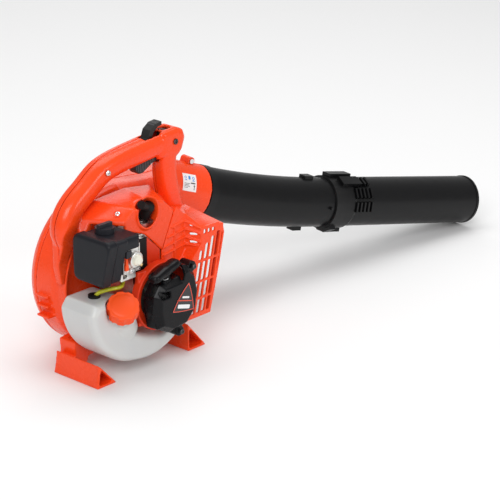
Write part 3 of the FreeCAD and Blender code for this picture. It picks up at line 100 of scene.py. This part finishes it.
def make_stage():
    """A pale floor, a key light from the upper left, a front fill, and lights overhead and behind."""
    bpy.ops.mesh.primitive_plane_add(size=30, location=(0, 0, 0))
    floor = bpy.context.object
    floor.name = "floor"
    material = bpy.data.materials.new("floor_paint")
    material.use_nodes = True
    shader = material.node_tree.nodes["Principled BSDF"]
    shader.inputs["Base Color"].default_value = (0.9, 0.9, 0.9, 1)
    shader.inputs["Roughness"].default_value = 0.9
    floor.data.materials.append(material)

    middle = at(60, -20, 130)
    soft_light("key", (-2.6, -1.6, 2.2), middle, (1.9, 1.4), 54)
    soft_light("front", (0.6, -3.2, 1.2), middle, (1.2, 0.9), 20)
    soft_light("overhead", (0.3, 0.4, 2.8), middle, (2.8, 1.7), 42)
    soft_light("back", (2.2, 2.6, 1.8), middle, (2.4, 1.8), 15)
    world = bpy.data.worlds.new("studio")
    world.use_nodes = True
    world.node_tree.nodes["Background"].inputs["Color"].default_value = (1, 1, 1, 1)
    world.node_tree.nodes["Background"].inputs["Strength"].default_value = 0.42
    bpy.context.scene.world = world
    bpy.context.scene.view_settings.view_transform = "Standard"


# ---------------------------------------------------------------- materials

# An edge starts to pale, partly as wear and partly as a painted highlight, at the first pointiness and pales
# the most at the second.
WEAR_AND_HIGHLIGHT_POINTINESS = (0.53, 0.62)
MOST_WEAR_AND_HIGHLIGHT = 0.35

class Surface:
    """A procedural material: a Principled shader whose colour, roughness and bump come from noise."""

    def __init__(self, name, colour, roughness, metallic=0.0):
        self.material = bpy.data.materials.new(name)
        self.material.use_nodes = True
        self.tree = self.material.node_tree
        self.shader = self.tree.nodes["Principled BSDF"]
        self.colour, self.roughness = colour, roughness
        self.shader.inputs["Base Color"].default_value = (*colour, 1)
        self.shader.inputs["Roughness"].default_value = roughness
        self.shader.inputs["Metallic"].default_value = metallic
        self.place = self.tree.nodes.new("ShaderNodeTexCoord").outputs["Object"]
        self.height = None

    def node(self, kind, **values):
        node = self.tree.nodes.new(kind)
        for socket, value in values.items():
            node.inputs[socket].default_value = value
        return node

    def link(self, output, socket):
        self.tree.links.new(output, socket)

    def noise(self, size_mm, detail=3.0):
        """Noise whose features are about size_mm wide."""
        node = self.node("ShaderNodeTexNoise", Scale=1 / (size_mm * MM), Detail=detail)
        self.link(self.place, node.inputs["Vector"])
        return node.outputs["Fac"]

    def spread(self, value, low, high, start=0.3, end=0.7):
        """A value between start and end mapped to a range."""
        node = self.node("ShaderNodeMapRange")
        node.inputs["From Min"].default_value = start
        node.inputs["From Max"].default_value = end
        node.inputs["To Min"].default_value = low
        node.inputs["To Max"].default_value = high
        self.link(value, node.inputs["Value"])
        return node.outputs["Result"]

    def tone(self, value, darker, lighter):
        """Colour that wanders between a darker and a lighter shade of the base."""
        mix = self.tree.nodes.new("ShaderNodeMix")
        mix.data_type = "RGBA"
        self.link(value, mix.inputs["Factor"])
        mix.inputs["A"].default_value = (*[c * darker for c in self.colour], 1)
        mix.inputs["B"].default_value = (*[min(1.0, c * lighter) for c in self.colour], 1)
        self.link(mix.outputs["Result"], self.shader.inputs["Base Color"])
        return mix.outputs["Result"]

    def rough(self, value, change):
        self.link(self.spread(value, self.roughness - change, self.roughness + change),
                  self.shader.inputs["Roughness"])

    def bump(self, value, depth_mm, strength=1.0):
        """Add a height; several heights are stacked one over another."""
        node = self.node("ShaderNodeBump", Strength=strength, Distance=depth_mm * MM)
        self.link(value, node.inputs["Height"])
        if self.height:
            self.link(self.height, node.inputs["Normal"])
        self.height = node.outputs["Normal"]
        self.link(self.height, self.shader.inputs["Normal"])

    def edges(self, base, shade):
        """Edges paled where the surface turns sharply outwards: partly wear, partly a painted highlight on
        the bevels.
        """
        geometry = self.tree.nodes.new("ShaderNodeNewGeometry")
        wear_and_highlight = self.spread(geometry.outputs["Pointiness"], 0.0, MOST_WEAR_AND_HIGHLIGHT, *WEAR_AND_HIGHLIGHT_POINTINESS)
        mix = self.tree.nodes.new("ShaderNodeMix")
        mix.data_type = "RGBA"
        self.link(wear_and_highlight, mix.inputs["Factor"])
        self.link(base, mix.inputs["A"])
        mix.inputs["B"].default_value = (*shade, 1)
        self.link(mix.outputs["Result"], self.shader.inputs["Base Color"])


def moulded(name, colour, roughness, grain_mm=0.0, grain_depth=0.0, coat=0.0, wear_and_highlight=None, shine=0.4):
    """Injection-moulded plastic: faint cloudiness, handled patches, spark texture, edges paled by wear and
    painted highlight.
    """
    surface = Surface(name, colour, roughness)
    base = surface.tone(surface.noise(38), 0.94, 1.05)
    surface.rough(surface.noise(14, 5), 0.05)
    surface.bump(surface.noise(9, 2), 0.05, 0.25)
    if grain_mm:
        surface.bump(surface.noise(grain_mm, 2), grain_depth)
    # Pale edges: part wear, part painted highlight.
    if wear_and_highlight:
        surface.edges(base, wear_and_highlight)
    surface.shader.inputs["Specular IOR Level"].default_value = shine
    surface.shader.inputs["Coat Weight"].default_value = coat
    surface.shader.inputs["Coat Roughness"].default_value = 0.12
    return surface.material


def metal(name, colour, roughness, cast_mm, depth_mm, stain=(0.8, 1.15)):
    surface = Surface(name, colour, roughness, metallic=1.0)
    surface.tone(surface.noise(7, 5), *stain)
    surface.rough(surface.noise(3, 5), 0.1)
    surface.bump(surface.noise(cast_mm, 4), depth_mm)
    return surface.material


def tank_plastic():
    """Natural translucent polyethylene."""
    surface = Surface("tank_plastic", (0.60, 0.60, 0.585), 0.38)
    surface.tone(surface.noise(45), 0.96, 1.04)
    surface.rough(surface.noise(18, 4), 0.05)
    surface.bump(surface.noise(6, 3), 0.06, 0.4)
    shader = surface.shader
    shader.inputs["Subsurface Weight"].default_value = 0.45
    shader.inputs["Subsurface Radius"].default_value = (0.012, 0.011, 0.009)
    shader.inputs["Subsurface Scale"].default_value = 1.0
    return surface.material


MATERIALS = {
    "orange": moulded("housing_orange", (0.93, 0.064, 0.008), 0.27, 0.9, 0.004, coat=0.12, shine=0.28),
    # A darker copy of the housing orange: painted shade, used on the starter shroud and the leg's slot rim.
    "orange_painted_shade": moulded("shroud_orange_painted_shade", (0.74, 0.04, 0.007), 0.36, 0.9, 0.004, shine=0.3),
    "cap_orange": moulded("cap_orange", (0.93, 0.085, 0.012), 0.42, 0.7, 0.01, shine=0.3),
    "pipe": moulded("pipe_black", (0.004, 0.004, 0.0045), 0.34, 0.8, 0.004, coat=0.05,
                    wear_and_highlight=(0.03, 0.03, 0.03), shine=0.2),
    "starter": moulded("starter_black", (0.004, 0.004, 0.005), 0.26, 0.8, 0.01, coat=0.05,
                       wear_and_highlight=(0.05, 0.05, 0.05), shine=0.16),
    "intake": moulded("intake_charcoal", (0.010, 0.011, 0.0145), 0.4, 0.7, 0.02,
                      wear_and_highlight=(0.05, 0.05, 0.06), shine=0.18),
    "control": moulded("control_black", (0.006, 0.006, 0.006), 0.42, 0.6, 0.02,
                       wear_and_highlight=(0.04, 0.04, 0.04), shine=0.26),
    "rubber": moulded("black_rubber", (0.005, 0.005, 0.005), 0.6, 0.5, 0.02, shine=0.25),
    "fan": moulded("fan_grey", (0.07, 0.07, 0.075), 0.5, 0.7, 0.02),
    "tank": tank_plastic(),
    "hose": moulded("hose_yellow", (0.5, 0.5, 0.02), 0.35, 0.8, 0.01, coat=0.3),
    "cast": metal("cast_aluminium", (0.78, 0.77, 0.74), 0.36, 0.9, 0.05),
    "muffler": metal("muffler_steel", (0.34, 0.33, 0.32), 0.5, 0.6, 0.03, (0.6, 1.2)),
    "steel": metal("machined_steel", (0.72, 0.72, 0.72), 0.25, 0.4, 0.01),
    "bulb": moulded("bulb_clear", (0.8, 0.78, 0.66), 0.18, 0.9, 0.004, coat=0.6),
    "foam": moulded("filter_foam", (0.3, 0.3, 0.27), 0.9, 1.2, 0.4),
    "label": moulded("label_white", (0.88, 0.88, 0.88), 0.35, 0.9, 0.004, coat=0.2),
    "rope": moulded("rope_weave", (0.05, 0.05, 0.055), 0.8, 0.6, 0.1),
    "dark_iron": metal("flywheel_grey", (0.3, 0.3, 0.3), 0.45, 0.8, 0.04),
    "badge_black": moulded("badge_black", (0.012, 0.012, 0.014), 0.22, 0.9, 0.004, coat=0.3),
    "badge_red": moulded("badge_red", (0.8, 0.06, 0.02), 0.35, 0.9, 0.004, coat=0.3),
    "print_white": moulded("print_white", (0.85, 0.85, 0.85), 0.4, 0.9, 0.004),
    "print_blue": moulded("print_blue", (0.05, 0.27, 0.7), 0.4, 0.9, 0.004),
    "print_dark": moulded("print_dark", (0.02, 0.02, 0.025), 0.4, 0.9, 0.004),
    "control_edge": moulded("control_edge", (0.085, 0.085, 0.09), 0.4, 0.6, 0.02),
    "dark_steel": metal("dark_steel", (0.1, 0.1, 0.1), 0.35, 0.4, 0.01),
    "brass": metal("brass", (0.75, 0.55, 0.25), 0.3, 0.4, 0.01),
}

NODE_MATERIALS = {
    "orange": ("fan_case", "fan_cover", "intake_grille", "handle_left", "handle_right", "outlet_clamp",
               "engine_cover"),
    "orange_painted_shade": ("starter_shroud",),
    "cap_orange": ("fuel_cap", "mixture_limiter"),
    "pipe": ("elbow_pipe", "front_pipe"),
    "starter": ("starter_housing", "starter_pulley", "starter_grip", "starter_badge"),
    "intake": ("air_cleaner_base", "air_cleaner_cover", "air_cleaner_knob", "choke_lever"),
    "control": ("throttle_trigger", "cruise_lever", "stop_switch"),
    "rubber": ("spark_plug_boot", "fuel_grommet", "fuel_cap_seal", "intake_insulator", "heat_shield"),
    "fan": ("fan_impeller",),
    "tank": ("fuel_tank",),
    "hose": ("fuel_hose",),
    "cast": ("carburetor_body", "crankcase", "cylinder", "piston"),
    "muffler": ("muffler",),
    "dark_iron": ("flywheel", "ignition_coil"),
    "steel": ("pivot_pins", "crankshaft", "connecting_rod", "piston_pin", "main_bearings", "rewind_spring",
              "fan_nut", "spark_plug", "throttle_lever", "housing_screws", "starter_screws",
              "outlet_clamp_screw"),
    "bulb": ("primer_bulb",),
    "foam": ("air_filter", "fuel_filter"),
    "label": ("instruction_label",),
    "rope": ("starter_rope_wound", "starter_rope_run"),
}


def dress_nodes():
    """Give every carried-over CAD node its finish."""
    for key, names in NODE_MATERIALS.items():
        for name in names:
            node = NODES[name]
            node.data.materials.clear()
            node.data.materials.append(MATERIALS[key])


# Each moulded or cast node with its grid's spacing in millimetres and its rounds of smoothing.
SOFTENED = (("fan_case", 1.5, 8), ("fan_cover", 1.4, 8), ("handle_left", 1.1, 14), ("handle_right", 1.1, 16),
            ("engine_cover", 0.65, 2), ("starter_housing", 0.8, 8), ("fuel_tank", 1.1, 14),
            ("starter_shroud", 0.9, 6), ("air_cleaner_base", 0.9, 5), ("air_cleaner_cover", 0.9, 5),
            ("carburetor_body", 0.6, 4), ("muffler", 1.0, 4), ("starter_grip", 0.6, 4), ("fuel_cap", 0.6, 5))


def soften(name, voxel_mm, passes):
    """Moulded corners: the node's shape rebuilt on a fine grid and relaxed, its size kept."""
    node = NODES[name]
    grid = node.modifiers.new("moulded_skin", "REMESH")
    grid.mode = "VOXEL"
    grid.voxel_size = voxel_mm * MM
    grid.use_smooth_shade = True
    relax = node.modifiers.new("rounded_edges", "SMOOTH")
    relax.factor = 0.5
    relax.iterations = passes


# ---------------------------------------------------------------- building pieces

def add_piece(name, vertices, faces, material, body="machine", smooth=False):
    """A mesh piece that rides a CAD body; all places are in the frame's metres."""
    mesh = bpy.data.meshes.new(name)
    mesh.from_pydata([tuple(v) for v in vertices], [], faces)
    build = bmesh.new()
    build.from_mesh(mesh)
    bmesh.ops.recalc_face_normals(build, faces=build.faces)
    build.to_mesh(mesh)
    build.free()
    mesh.materials.append(MATERIALS[material])
    item = bpy.data.objects.new(name, mesh)
    bpy.context.scene.collection.objects.link(item)
    if smooth:
        mesh.shade_smooth()
    if body:
        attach(item, body)
    return item


class Shape:
    """Vertices and faces gathered from several simple solids, so that one piece can hold them all."""

    def __init__(self):
        self.vertices, self.faces = [], []

    def loops(self, loops, closed=False):
        """A skin over loops with the same number of points; closed joins the last loop to the first."""
        count, first = len(loops[0]), len(self.vertices)
        for loop in loops:
            self.vertices.extend(loop)
        rows = len(loops)
        for i in range(rows if closed else rows - 1):
            for j in range(count):
                a, b = first + i * count + j, first + i * count + (j + 1) % count
                c = first + (i + 1) % rows * count + (j + 1) % count
                d = first + (i + 1) % rows * count + j
                self.faces.append((a, b, c, d))
        if not closed:
            self.faces.append(tuple(range(first + count - 1, first - 1, -1)))
            self.faces.append(tuple(range(first + (rows - 1) * count, first + rows * count)))
        return self

    def prism(self, outline, place, depth):
        """An outline carried outwards; place turns (a, b, height) into a point."""
        return self.loops([[place(a, b, 0) for a, b in outline], [place(a, b, depth) for a, b in outline]])

    def frame(self, outer, inner, place, depth):
        """A raised rim between two outlines with the same number of points."""
        return self.loops([[place(a, b, 0) for a, b in outer], [place(a, b, depth) for a, b in outer],
                           [place(a, b, depth) for a, b in inner], [place(a, b, 0) for a, b in inner]],
                          closed=True)

    def turned(self, profile, base, axis, count=28):
        """A solid turned about an axis from (radius, height) pairs in millimetres."""
        across, up = square_to(axis)
        out = spokes(across, up, count)
        return self.loops([[base + axis * (height * MM) + spoke * radius * MM for spoke in out]
                           for radius, height in profile])

    def tube(self, points, radius_mm, count):
        """A round tube through a list of points."""
        rings = []
        across = None
        for i, point in enumerate(points):
            ahead = (points[min(i + 1, len(points) - 1)] - points[max(i - 1, 0)]).normalized()
            if across is None:
                across = square_to(ahead)[0]
            else:
                across = (across - ahead * across.dot(ahead)).normalized()
            out = spokes(across, ahead.cross(across), count)
            rings.append([point + spoke * radius_mm * MM for spoke in out])
        return self.loops(rings)

    def screw(self, base, axis, radius, height, depth=1.0):
        """A pan head with a cross recess."""
        across, up = square_to(axis)
        arm, half = radius * 0.62, radius * 0.15
        waist = half * 1.6
        cross = []
        for turn in range(4):
            c, s = math.cos(turn * math.pi / 2), math.sin(turn * math.pi / 2)
            for a, b in ((arm, -half), (arm, 0), (arm, half), (waist, half), (half, half), (half, waist)):
                cross.append((a * c - b * s, a * s + b * c))
        start = math.atan2(-half, arm)
        turns = [start + turn for turn in angles(len(cross))]
        rings = []
        for width, rise in ((1, 0), (1, 0.45), (0.88, 0.85), (0.7, 1)):
            r = radius * width
            rings.append([(r * math.cos(turn), r * math.sin(turn), height * rise) for turn in turns])
        rings.append([(a, b, height) for a, b in cross])
        rings.append([(a * 0.8, b * 0.8, height - depth) for a, b in cross])
        return self.loops([[base + (across * a + up * b + axis * h) * MM for a, b, h in ring]
                           for ring in rings])

    def make(self, name, material, body="machine", smooth=False, bevel_mm=0.0):
        item = add_piece(name, self.vertices, self.faces, material, body, smooth)
        if bevel_mm:
            soft = item.modifiers.new("soft_edges", "BEVEL")
            soft.width = bevel_mm * MM
            soft.segments = 2
            soft.limit_method = "ANGLE"
        return item


def helix(place, turns=5, steps=18):
    """Points along a helix; place takes the angle and the part of the helix that is done."""
    last = turns * steps
    return [place(2 * math.pi * i / steps, i / last) for i in range(last + 1)]


def angles(count):
    """Evenly spaced turns of a full circle."""
    return [2 * math.pi * i / count for i in range(count)]


def spokes(across, up, count):
    """Evenly spaced directions round a circle."""
    return [across * math.cos(turn) + up * math.sin(turn) for turn in angles(count)]


def square_to(axis):
    """Two directions at right angles to an axis."""
    helper = Vector((0, 0, 1)) if abs(axis.z) < 0.8 else Vector((1, 0, 0))
    across = axis.cross(helper).normalized()
    return across, axis.cross(across).normalized()


def rounded(width, height, radius, steps=5):
    """Corner-rounded rectangle about the origin."""
    points = []
    corners = ((1, 1, 0), (-1, 1, 90), (-1, -1, 180), (1, -1, 270))
    for sx, sy, start in corners:
        cx, cy = sx * (width / 2 - radius), sy * (height / 2 - radius)
        for i in range(steps + 1):
            turn = math.radians(start + 90 * i / steps)
            points.append((cx + radius * math.cos(turn), cy + radius * math.sin(turn)))
    return points


def shifted(outline, a, b, slant=0.0):
    """An outline moved by (a, b) and leaned over by slant."""
    return [(x + a + y * slant, y + b) for x, y in outline]


def soft_corners(outline, radius, steps=5):
    """Any convex outline with each corner replaced by a smooth turn."""
    points = []
    count = len(outline)
    for i in range(count):
        before, corner, after = (Vector(outline[(i + k) % count]) for k in (-1, 0, 1))
        start = corner + (before - corner).normalized() * radius
        end = corner + (after - corner).normalized() * radius
        for k in range(steps + 1):
            t = k / steps
            points.append(tuple(start * (1 - t) ** 2 + corner * 2 * t * (1 - t) + end * t ** 2))
    return points


def about(outline, centre, scale):
    """An outline made larger or smaller about a point."""
    return [(centre[0] + (x - centre[0]) * scale, centre[1] + (y - centre[1]) * scale) for x, y in outline]


# ---------------------------------------------------------------- the starter's badge, rope and grip

# The badge's corners and the front of the starter housing are in millimetres from the crank axis.
BADGE_CORNERS = ((-10, 86.3), (21.8, 120.5), (30.2, 80))
BADGE_BULGE = (2.6, 1.6, 1.0)
STARTER_FACE = -103.0
LEVEL_SLOPE = -0.28
NEAR = Vector((0, -1, 0))


def on_starter(x, z, height):
    """A place on the flat front of the starter housing, raised by height."""
    return at(x, STARTER_FACE - height, z)


def bulged(corners, bulges, steps=12):
    """A closed outline whose sides bow outwards between its corners."""
    centre = sum((Vector(c) for c in corners), Vector((0, 0))) / len(corners)
    points = []
    for i, bulge in enumerate(bulges):
        start, end = Vector(corners[i]), Vector(corners[(i + 1) % len(corners)])
        along = end - start
        outward = Vector((along.y, -along.x)).normalized()
        if outward.dot((start + end) / 2 - centre) < 0:
            outward = -outward
        for k in range(steps):
            t = k / steps
            points.append(tuple(start + along * t + outward * bulge * 4 * t * (1 - t)))
    return points


def badge():
    """A triangular badge with bowed sides, a thin red rim, a bar across it and two plain pale marks."""
    thickness, print_height = 0.6, 0.2
    centre = (14.5, 94.5)
    plate = bulged(BADGE_CORNERS, BADGE_BULGE)
    item = Shape().prism(plate, on_starter, thickness).make("badge_plate", "badge_black", bevel_mm=0.2)
    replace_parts(item, "starter_badge")

    def on_plate(x, z, height):
        return on_starter(x, z, height + thickness)

    rim = Shape().frame(about(plate, centre, 0.95), about(plate, centre, 0.885), on_plate, print_height)
    rim.make("badge_rim", "badge_red")

    def mark(x, z):
        def place(a, b, height):
            return on_plate(x + a, z + b + LEVEL_SLOPE * a, height)
        return place

    Shape().prism(rounded(25.5, 1.3, 0.3), mark(12.6, 97.0), print_height).make("badge_bar", "badge_red")
    marks = Shape()
    marks.prism(shifted(rounded(21.5, 5.4, 1.3), 0, 0, 0.3), mark(11.2, 89.3), print_height)
    marks.prism(shifted(rounded(12.5, 2.6, 0.8), 0, 0, 0.1), mark(15.2, 101.0), print_height)
    marks.make("badge_marks", "print_white")


PULL = Vector(JOINTS["starter_pull"]["axis"]).normalized()
EYELET = at(-8, -90, 126)
ROPE_LENGTH, ROPE_RADIUS = 13.5, 1.9


def starter_rope():
    """The braided rope between the eyelet and the grip."""
    steps = 40
    points = [EYELET + PULL * (ROPE_LENGTH * MM * i / steps) for i in range(steps + 1)]
    rope = Shape().tube(points, ROPE_RADIUS, 16).make("starter_rope", "rope", body=None, smooth=True)
    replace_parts(rope, "starter_rope_run")
    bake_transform(rope)


def starter_trim():
    """The eyelet's ring, a lens-shaped rim on the grip and the screws of the starter housing."""
    ring = [(2.9, 4.0), (4.4, 4.0), (5.2, 4.6), (5.2, 5.6), (4.4, 6.2), (2.9, 6.2)]
    Shape().turned(ring, EYELET, PULL).make("rope_eyelet", "steel", smooth=True)
    along = Vector((PULL.z, 0.12, -PULL.x)).normalized()
    side = along.cross(PULL).normalized()
    near = side if side.y < 0 else -side
    centre = EYELET + PULL * (16.6 * MM) + near * (8.2 * MM)
    tilt = (near * 0.8 + PULL * 0.6).normalized()
    rise = along.cross(tilt).normalized()
    rise = rise if rise.z > 0 else -rise

    def place(a, b, height):
        return centre + (along * a + rise * b + tilt * height) * MM

    half_length, half_width, lean = 26, 3.0, 0.12
    lens = []
    for turn in angles(28):
        rounding = 1 - lean * math.sin(turn)
        lens.append((half_length * math.cos(turn) * rounding, half_width * math.sin(turn)))
    Shape().frame(lens, about(lens, (0, 0), 0.9), place, 0.5).make("grip_rim", "starter", "starter_grip")
    heads = Shape()
    for x, y, z in ((8, -103.0, 55), (36, -99.0, 136)):
        heads.screw(at(x, y, z), NEAR, 3.4, 1.6)
    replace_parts(heads.make("starter_screw_heads", "dark_steel"), "starter_screws")


# ---------------------------------------------------------------- the outlet's label

PIPE_YAW, OUTLET_DROOP = math.radians(9.2), math.radians(20)
OUTLET_AXIS = Vector((math.cos(OUTLET_DROOP) * math.cos(PIPE_YAW),
                      -math.cos(OUTLET_DROOP) * math.sin(PIPE_YAW), -math.sin(OUTLET_DROOP)))
OUTLET_SIDE = Vector((math.sin(PIPE_YAW), math.cos(PIPE_YAW), 0))
OUTLET_UP = OUTLET_AXIS.cross(OUTLET_SIDE)
LABEL_START = at(198, 56, 162) - OUTLET_AXIS * (54 * MM)
LABEL_RADIUS = 39.9


def on_label(along, rise, height):
    """A place on the label: along the outlet, up round it from the level of its axis."""
    turn = rise / LABEL_RADIUS
    outward = OUTLET_UP * math.sin(turn) - OUTLET_SIDE * math.cos(turn)
    return LABEL_START + (OUTLET_AXIS * along + outward * (LABEL_RADIUS + height)) * MM


def label_art():
    """Plain pictogram shapes: blue rings and wedges above, grey lines and a dark arrow below."""
    ink = 0.12
    blue = Shape()
    for along, size in ((4.6, 1.9), (18.6, 2.2)):
        circle = [(size * math.cos(t), size * math.sin(t)) for t in angles(20)]
        blue.frame(shifted(circle, along, 24), shifted(about(circle, (0, 0), 0.62), along, 24), on_label, ink)
    blue.prism(shifted(rounded(3.6, 5.2, 1.0), 11.6, 24), on_label, ink)
    blue.prism([(2.6, 19.8), (7.4, 19.8), (5.6, 21.4)], on_label, ink)
    blue.prism([(15.4, 19.6), (21.6, 19.6), (18.4, 21.4)], on_label, ink)
    blue.make("label_blue", "print_blue")
    dark = Shape()
    start, line_pitch, line_width = 2.2, 1.9, 0.6
    for row, end in enumerate((12, 10.5, 12, 8.5)):
        low = 15.2 - line_pitch * row
        top = low + line_width
        dark.prism([(start, low), (end, low), (end, top), (start, top)], on_label, ink)
    dark.prism(shifted(rounded(8, 1.6, 0.4), 17.6, 16.6), on_label, ink)
    dark.prism([(19.4, 7.6), (20.6, 7.6), (20.6, 12.6), (19.4, 12.6)], on_label, ink)
    dark.prism([(18.2, 12.6), (21.8, 12.6), (20, 14.6)], on_label, ink)
    dark.make("label_lines", "print_dark")


# ---------------------------------------------------------------- handle, controls and cap

def handle_trim():
    """Cross-recessed screws in the grip, the head and the hood."""
    heads = Shape()
    heads.screw(at(-35, -17.3, 262), NEAR, 3.9, 1.9, 1.3)
    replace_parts(heads.make("housing_screw_heads", "steel"), "housing_screws")
    Shape().screw(at(88, -18.0, 276), NEAR, 3.9, 1.2, 1.0).make("head_screw", "dark_steel")
    hood_out = Vector((-0.55, -0.24, 0.8)).normalized()
    hood_at = at(-46.6, -45.0, 216.9)
    Shape().turned([(5.6, -1.5), (5.6, 0.5), (5.2, 0.9), (4.4, 0.9), (4.1, 0.3), (4.1, -1.5)], hood_at,
                   hood_out).make("hood_boss", "orange", smooth=True)
    Shape().screw(hood_at - hood_out * (0.6 * MM), hood_out, 3.7, 1.8, 1.2).make("hood_screw", "steel")

    def leg(a, b, height):
        return at(-91.6 + a, -11.3 - height, 214 + b)

    slot = soft_corners([(-6, -3), (5, -4), (7, 1), (4, 4), (-4, 3.4)], 2.4)
    # The rim takes the darker orange copy, a painted shade.
    Shape().frame(slot, about(slot, (0, 0), 0.72), leg, 0.7).make("leg_slot_rim", "orange_painted_shade")


def trigger_ribs():
    """Grip ribs on the sides of the trigger and serrations on the cruise lever."""
    lower = ((22, 252), (30, 243.6), (37, 243.6), (54, 252.4), (75, 259.4))
    ribs = Shape()
    rib_count, first_rib, rib_pitch, half_thickness, rib_height = 11, 25.5, 3.1, 6.9, 0.7
    for side in (-1, 1):
        for i in range(rib_count):
            x = first_rib + rib_pitch * i
            low = next(z0 + (z1 - z0) * (x - x0) / (x1 - x0)
                       for (x0, z0), (x1, z1) in zip(lower, lower[1:]) if x0 <= x <= x1) + 0.8

            def place(a, b, height, side=side):
                return at(a, side * (half_thickness + height), b)

            rib = [(x - 0.6, low), (x + 0.6, low + 0.5), (x + 2.0, 262), (x + 0.8, 262)]
            ribs.prism(rib, place, rib_height)
    ribs.make("trigger_ribs", "control_edge", "throttle_trigger")
    teeth = Shape()
    tooth_count, first_tooth, tooth_pitch, lever_width, top_slope = 6, 60, 2.3, 12.8, 0.13

    def across(a, b, height):
        return at(a, height - lever_width / 2, b)

    for i in range(tooth_count):
        x = first_tooth + tooth_pitch * i
        top = 302.6 + (x - first_tooth) * top_slope
        teeth.prism([(x - 0.5, top - 0.6), (x + 0.7, top - 0.5), (x + 0.3, top + 1.1)], across, lever_width)
    teeth.make("cruise_teeth", "control_edge", "cruise_lever")


CAP_AXIS = Vector(JOINTS["cap_turn"]["axis"]).normalized()
CAP_START = Vector(JOINTS["cap_turn"]["pos_m"]) - CAP_AXIS * (0.8 * MM)


def cap_trim():
    """A raised frame on each of the cap's lobes, and a rim and a low dome on its face."""
    turn = Vector((0, 0, 1)).rotation_difference(CAP_AXIS).to_matrix()
    frames = Shape()
    lobes, radius, height = 9, 20.4, 17.0
    for i in range(lobes):
        angle = 2 * math.pi * (i + 0.5) / lobes
        out = turn @ Vector((math.cos(angle), math.sin(angle), 0))
        tangent = CAP_AXIS.cross(out)
        centre = CAP_START + CAP_AXIS * (8.2 * MM) + out * ((radius - 0.25) * MM)

        def place(a, b, rise, centre=centre, tangent=tangent, out=out):
            return centre + (tangent * a + CAP_AXIS * b + out * rise) * MM

        outer = rounded(6.6, 10.4, 0.8, 2)
        frames.frame(outer, rounded(4.6, 8.4, 0.5, 2), place, 0.75)
    frames.make("cap_frames", "cap_orange", "fuel_cap")
    face = CAP_START + CAP_AXIS * (height * MM)
    dome = [(17.0, -0.4), (16.2, 0.15), (13.0, 0.75), (8.0, 1.3), (3.0, 1.55), (0.01, 1.6)]
    Shape().turned(dome, face, CAP_AXIS, 48).make("cap_dome", "cap_orange", "fuel_cap", smooth=True)


# ---------------------------------------------------------------- carburettor

def carburettor_trim():
    """The bulb's flange, the screws, the throttle's spring, the idle adjuster and a frame on the body."""
    bulb = at(-50, -81, 165)
    Shape().turned([(8.5, -0.2), (10.6, -0.2), (10.8, 0.5), (10.4, 1.0), (8.5, 1.2)], bulb, NEAR).make(
        "bulb_flange", "cast", smooth=True)
    screws = Shape()
    for x, z in ((-41, 150), (-41, 181), (-60.5, 181.5)):
        screws.screw(at(x, -75, z), NEAR, 2.2, 1.4, 0.7)
    screws.screw(at(-55, -79, 151), NEAR, 3.3, 1.0, 0.8)
    screws.make("carburettor_screws", "steel")
    wire, return_radius, idle_radius = 0.35, 3.4, 2.2

    def on_return_spring(turn, part):
        return at(-38 + return_radius * math.cos(turn), -58 + return_radius * math.sin(turn), 183 + 3 * part)

    def on_idle_spring(turn, part):
        return at(-43 + idle_radius * math.cos(turn), -75.5 - 5 * part, 157 + idle_radius * math.sin(turn))

    Shape().tube(helix(on_return_spring), wire, 6).make("throttle_spring", "steel", smooth=True)
    adjuster = Shape().tube(helix(on_idle_spring), wire, 6)
    adjuster.turned([(1.3, 0), (1.3, 6.6), (2.1, 6.6), (2.1, 8.4), (1.6, 8.8)], at(-43, -75, 157), NEAR)
    adjuster.make("idle_adjuster", "brass", smooth=True)
    plate = Shape()

    def face(a, b, height):
        return at(a, -75 - height, b)

    plate.frame([(-66.6, 147.4), (-38.4, 147.4), (-38.4, 183.6), (-66.6, 183.6)],
                [(-65.0, 149.0), (-40.0, 149.0), (-40.0, 182.0), (-65.0, 182.0)], face, 0.6)
    plate.make("carburettor_plate", "cast")


# ---------------------------------------------------------------- the making

make_camera()
make_stage()
dress_nodes()
badge()
starter_rope()
starter_trim()
label_art()
handle_trim()
trigger_ribs()
cap_trim()
carburettor_trim()
for softened in SOFTENED:
    soften(*softened)
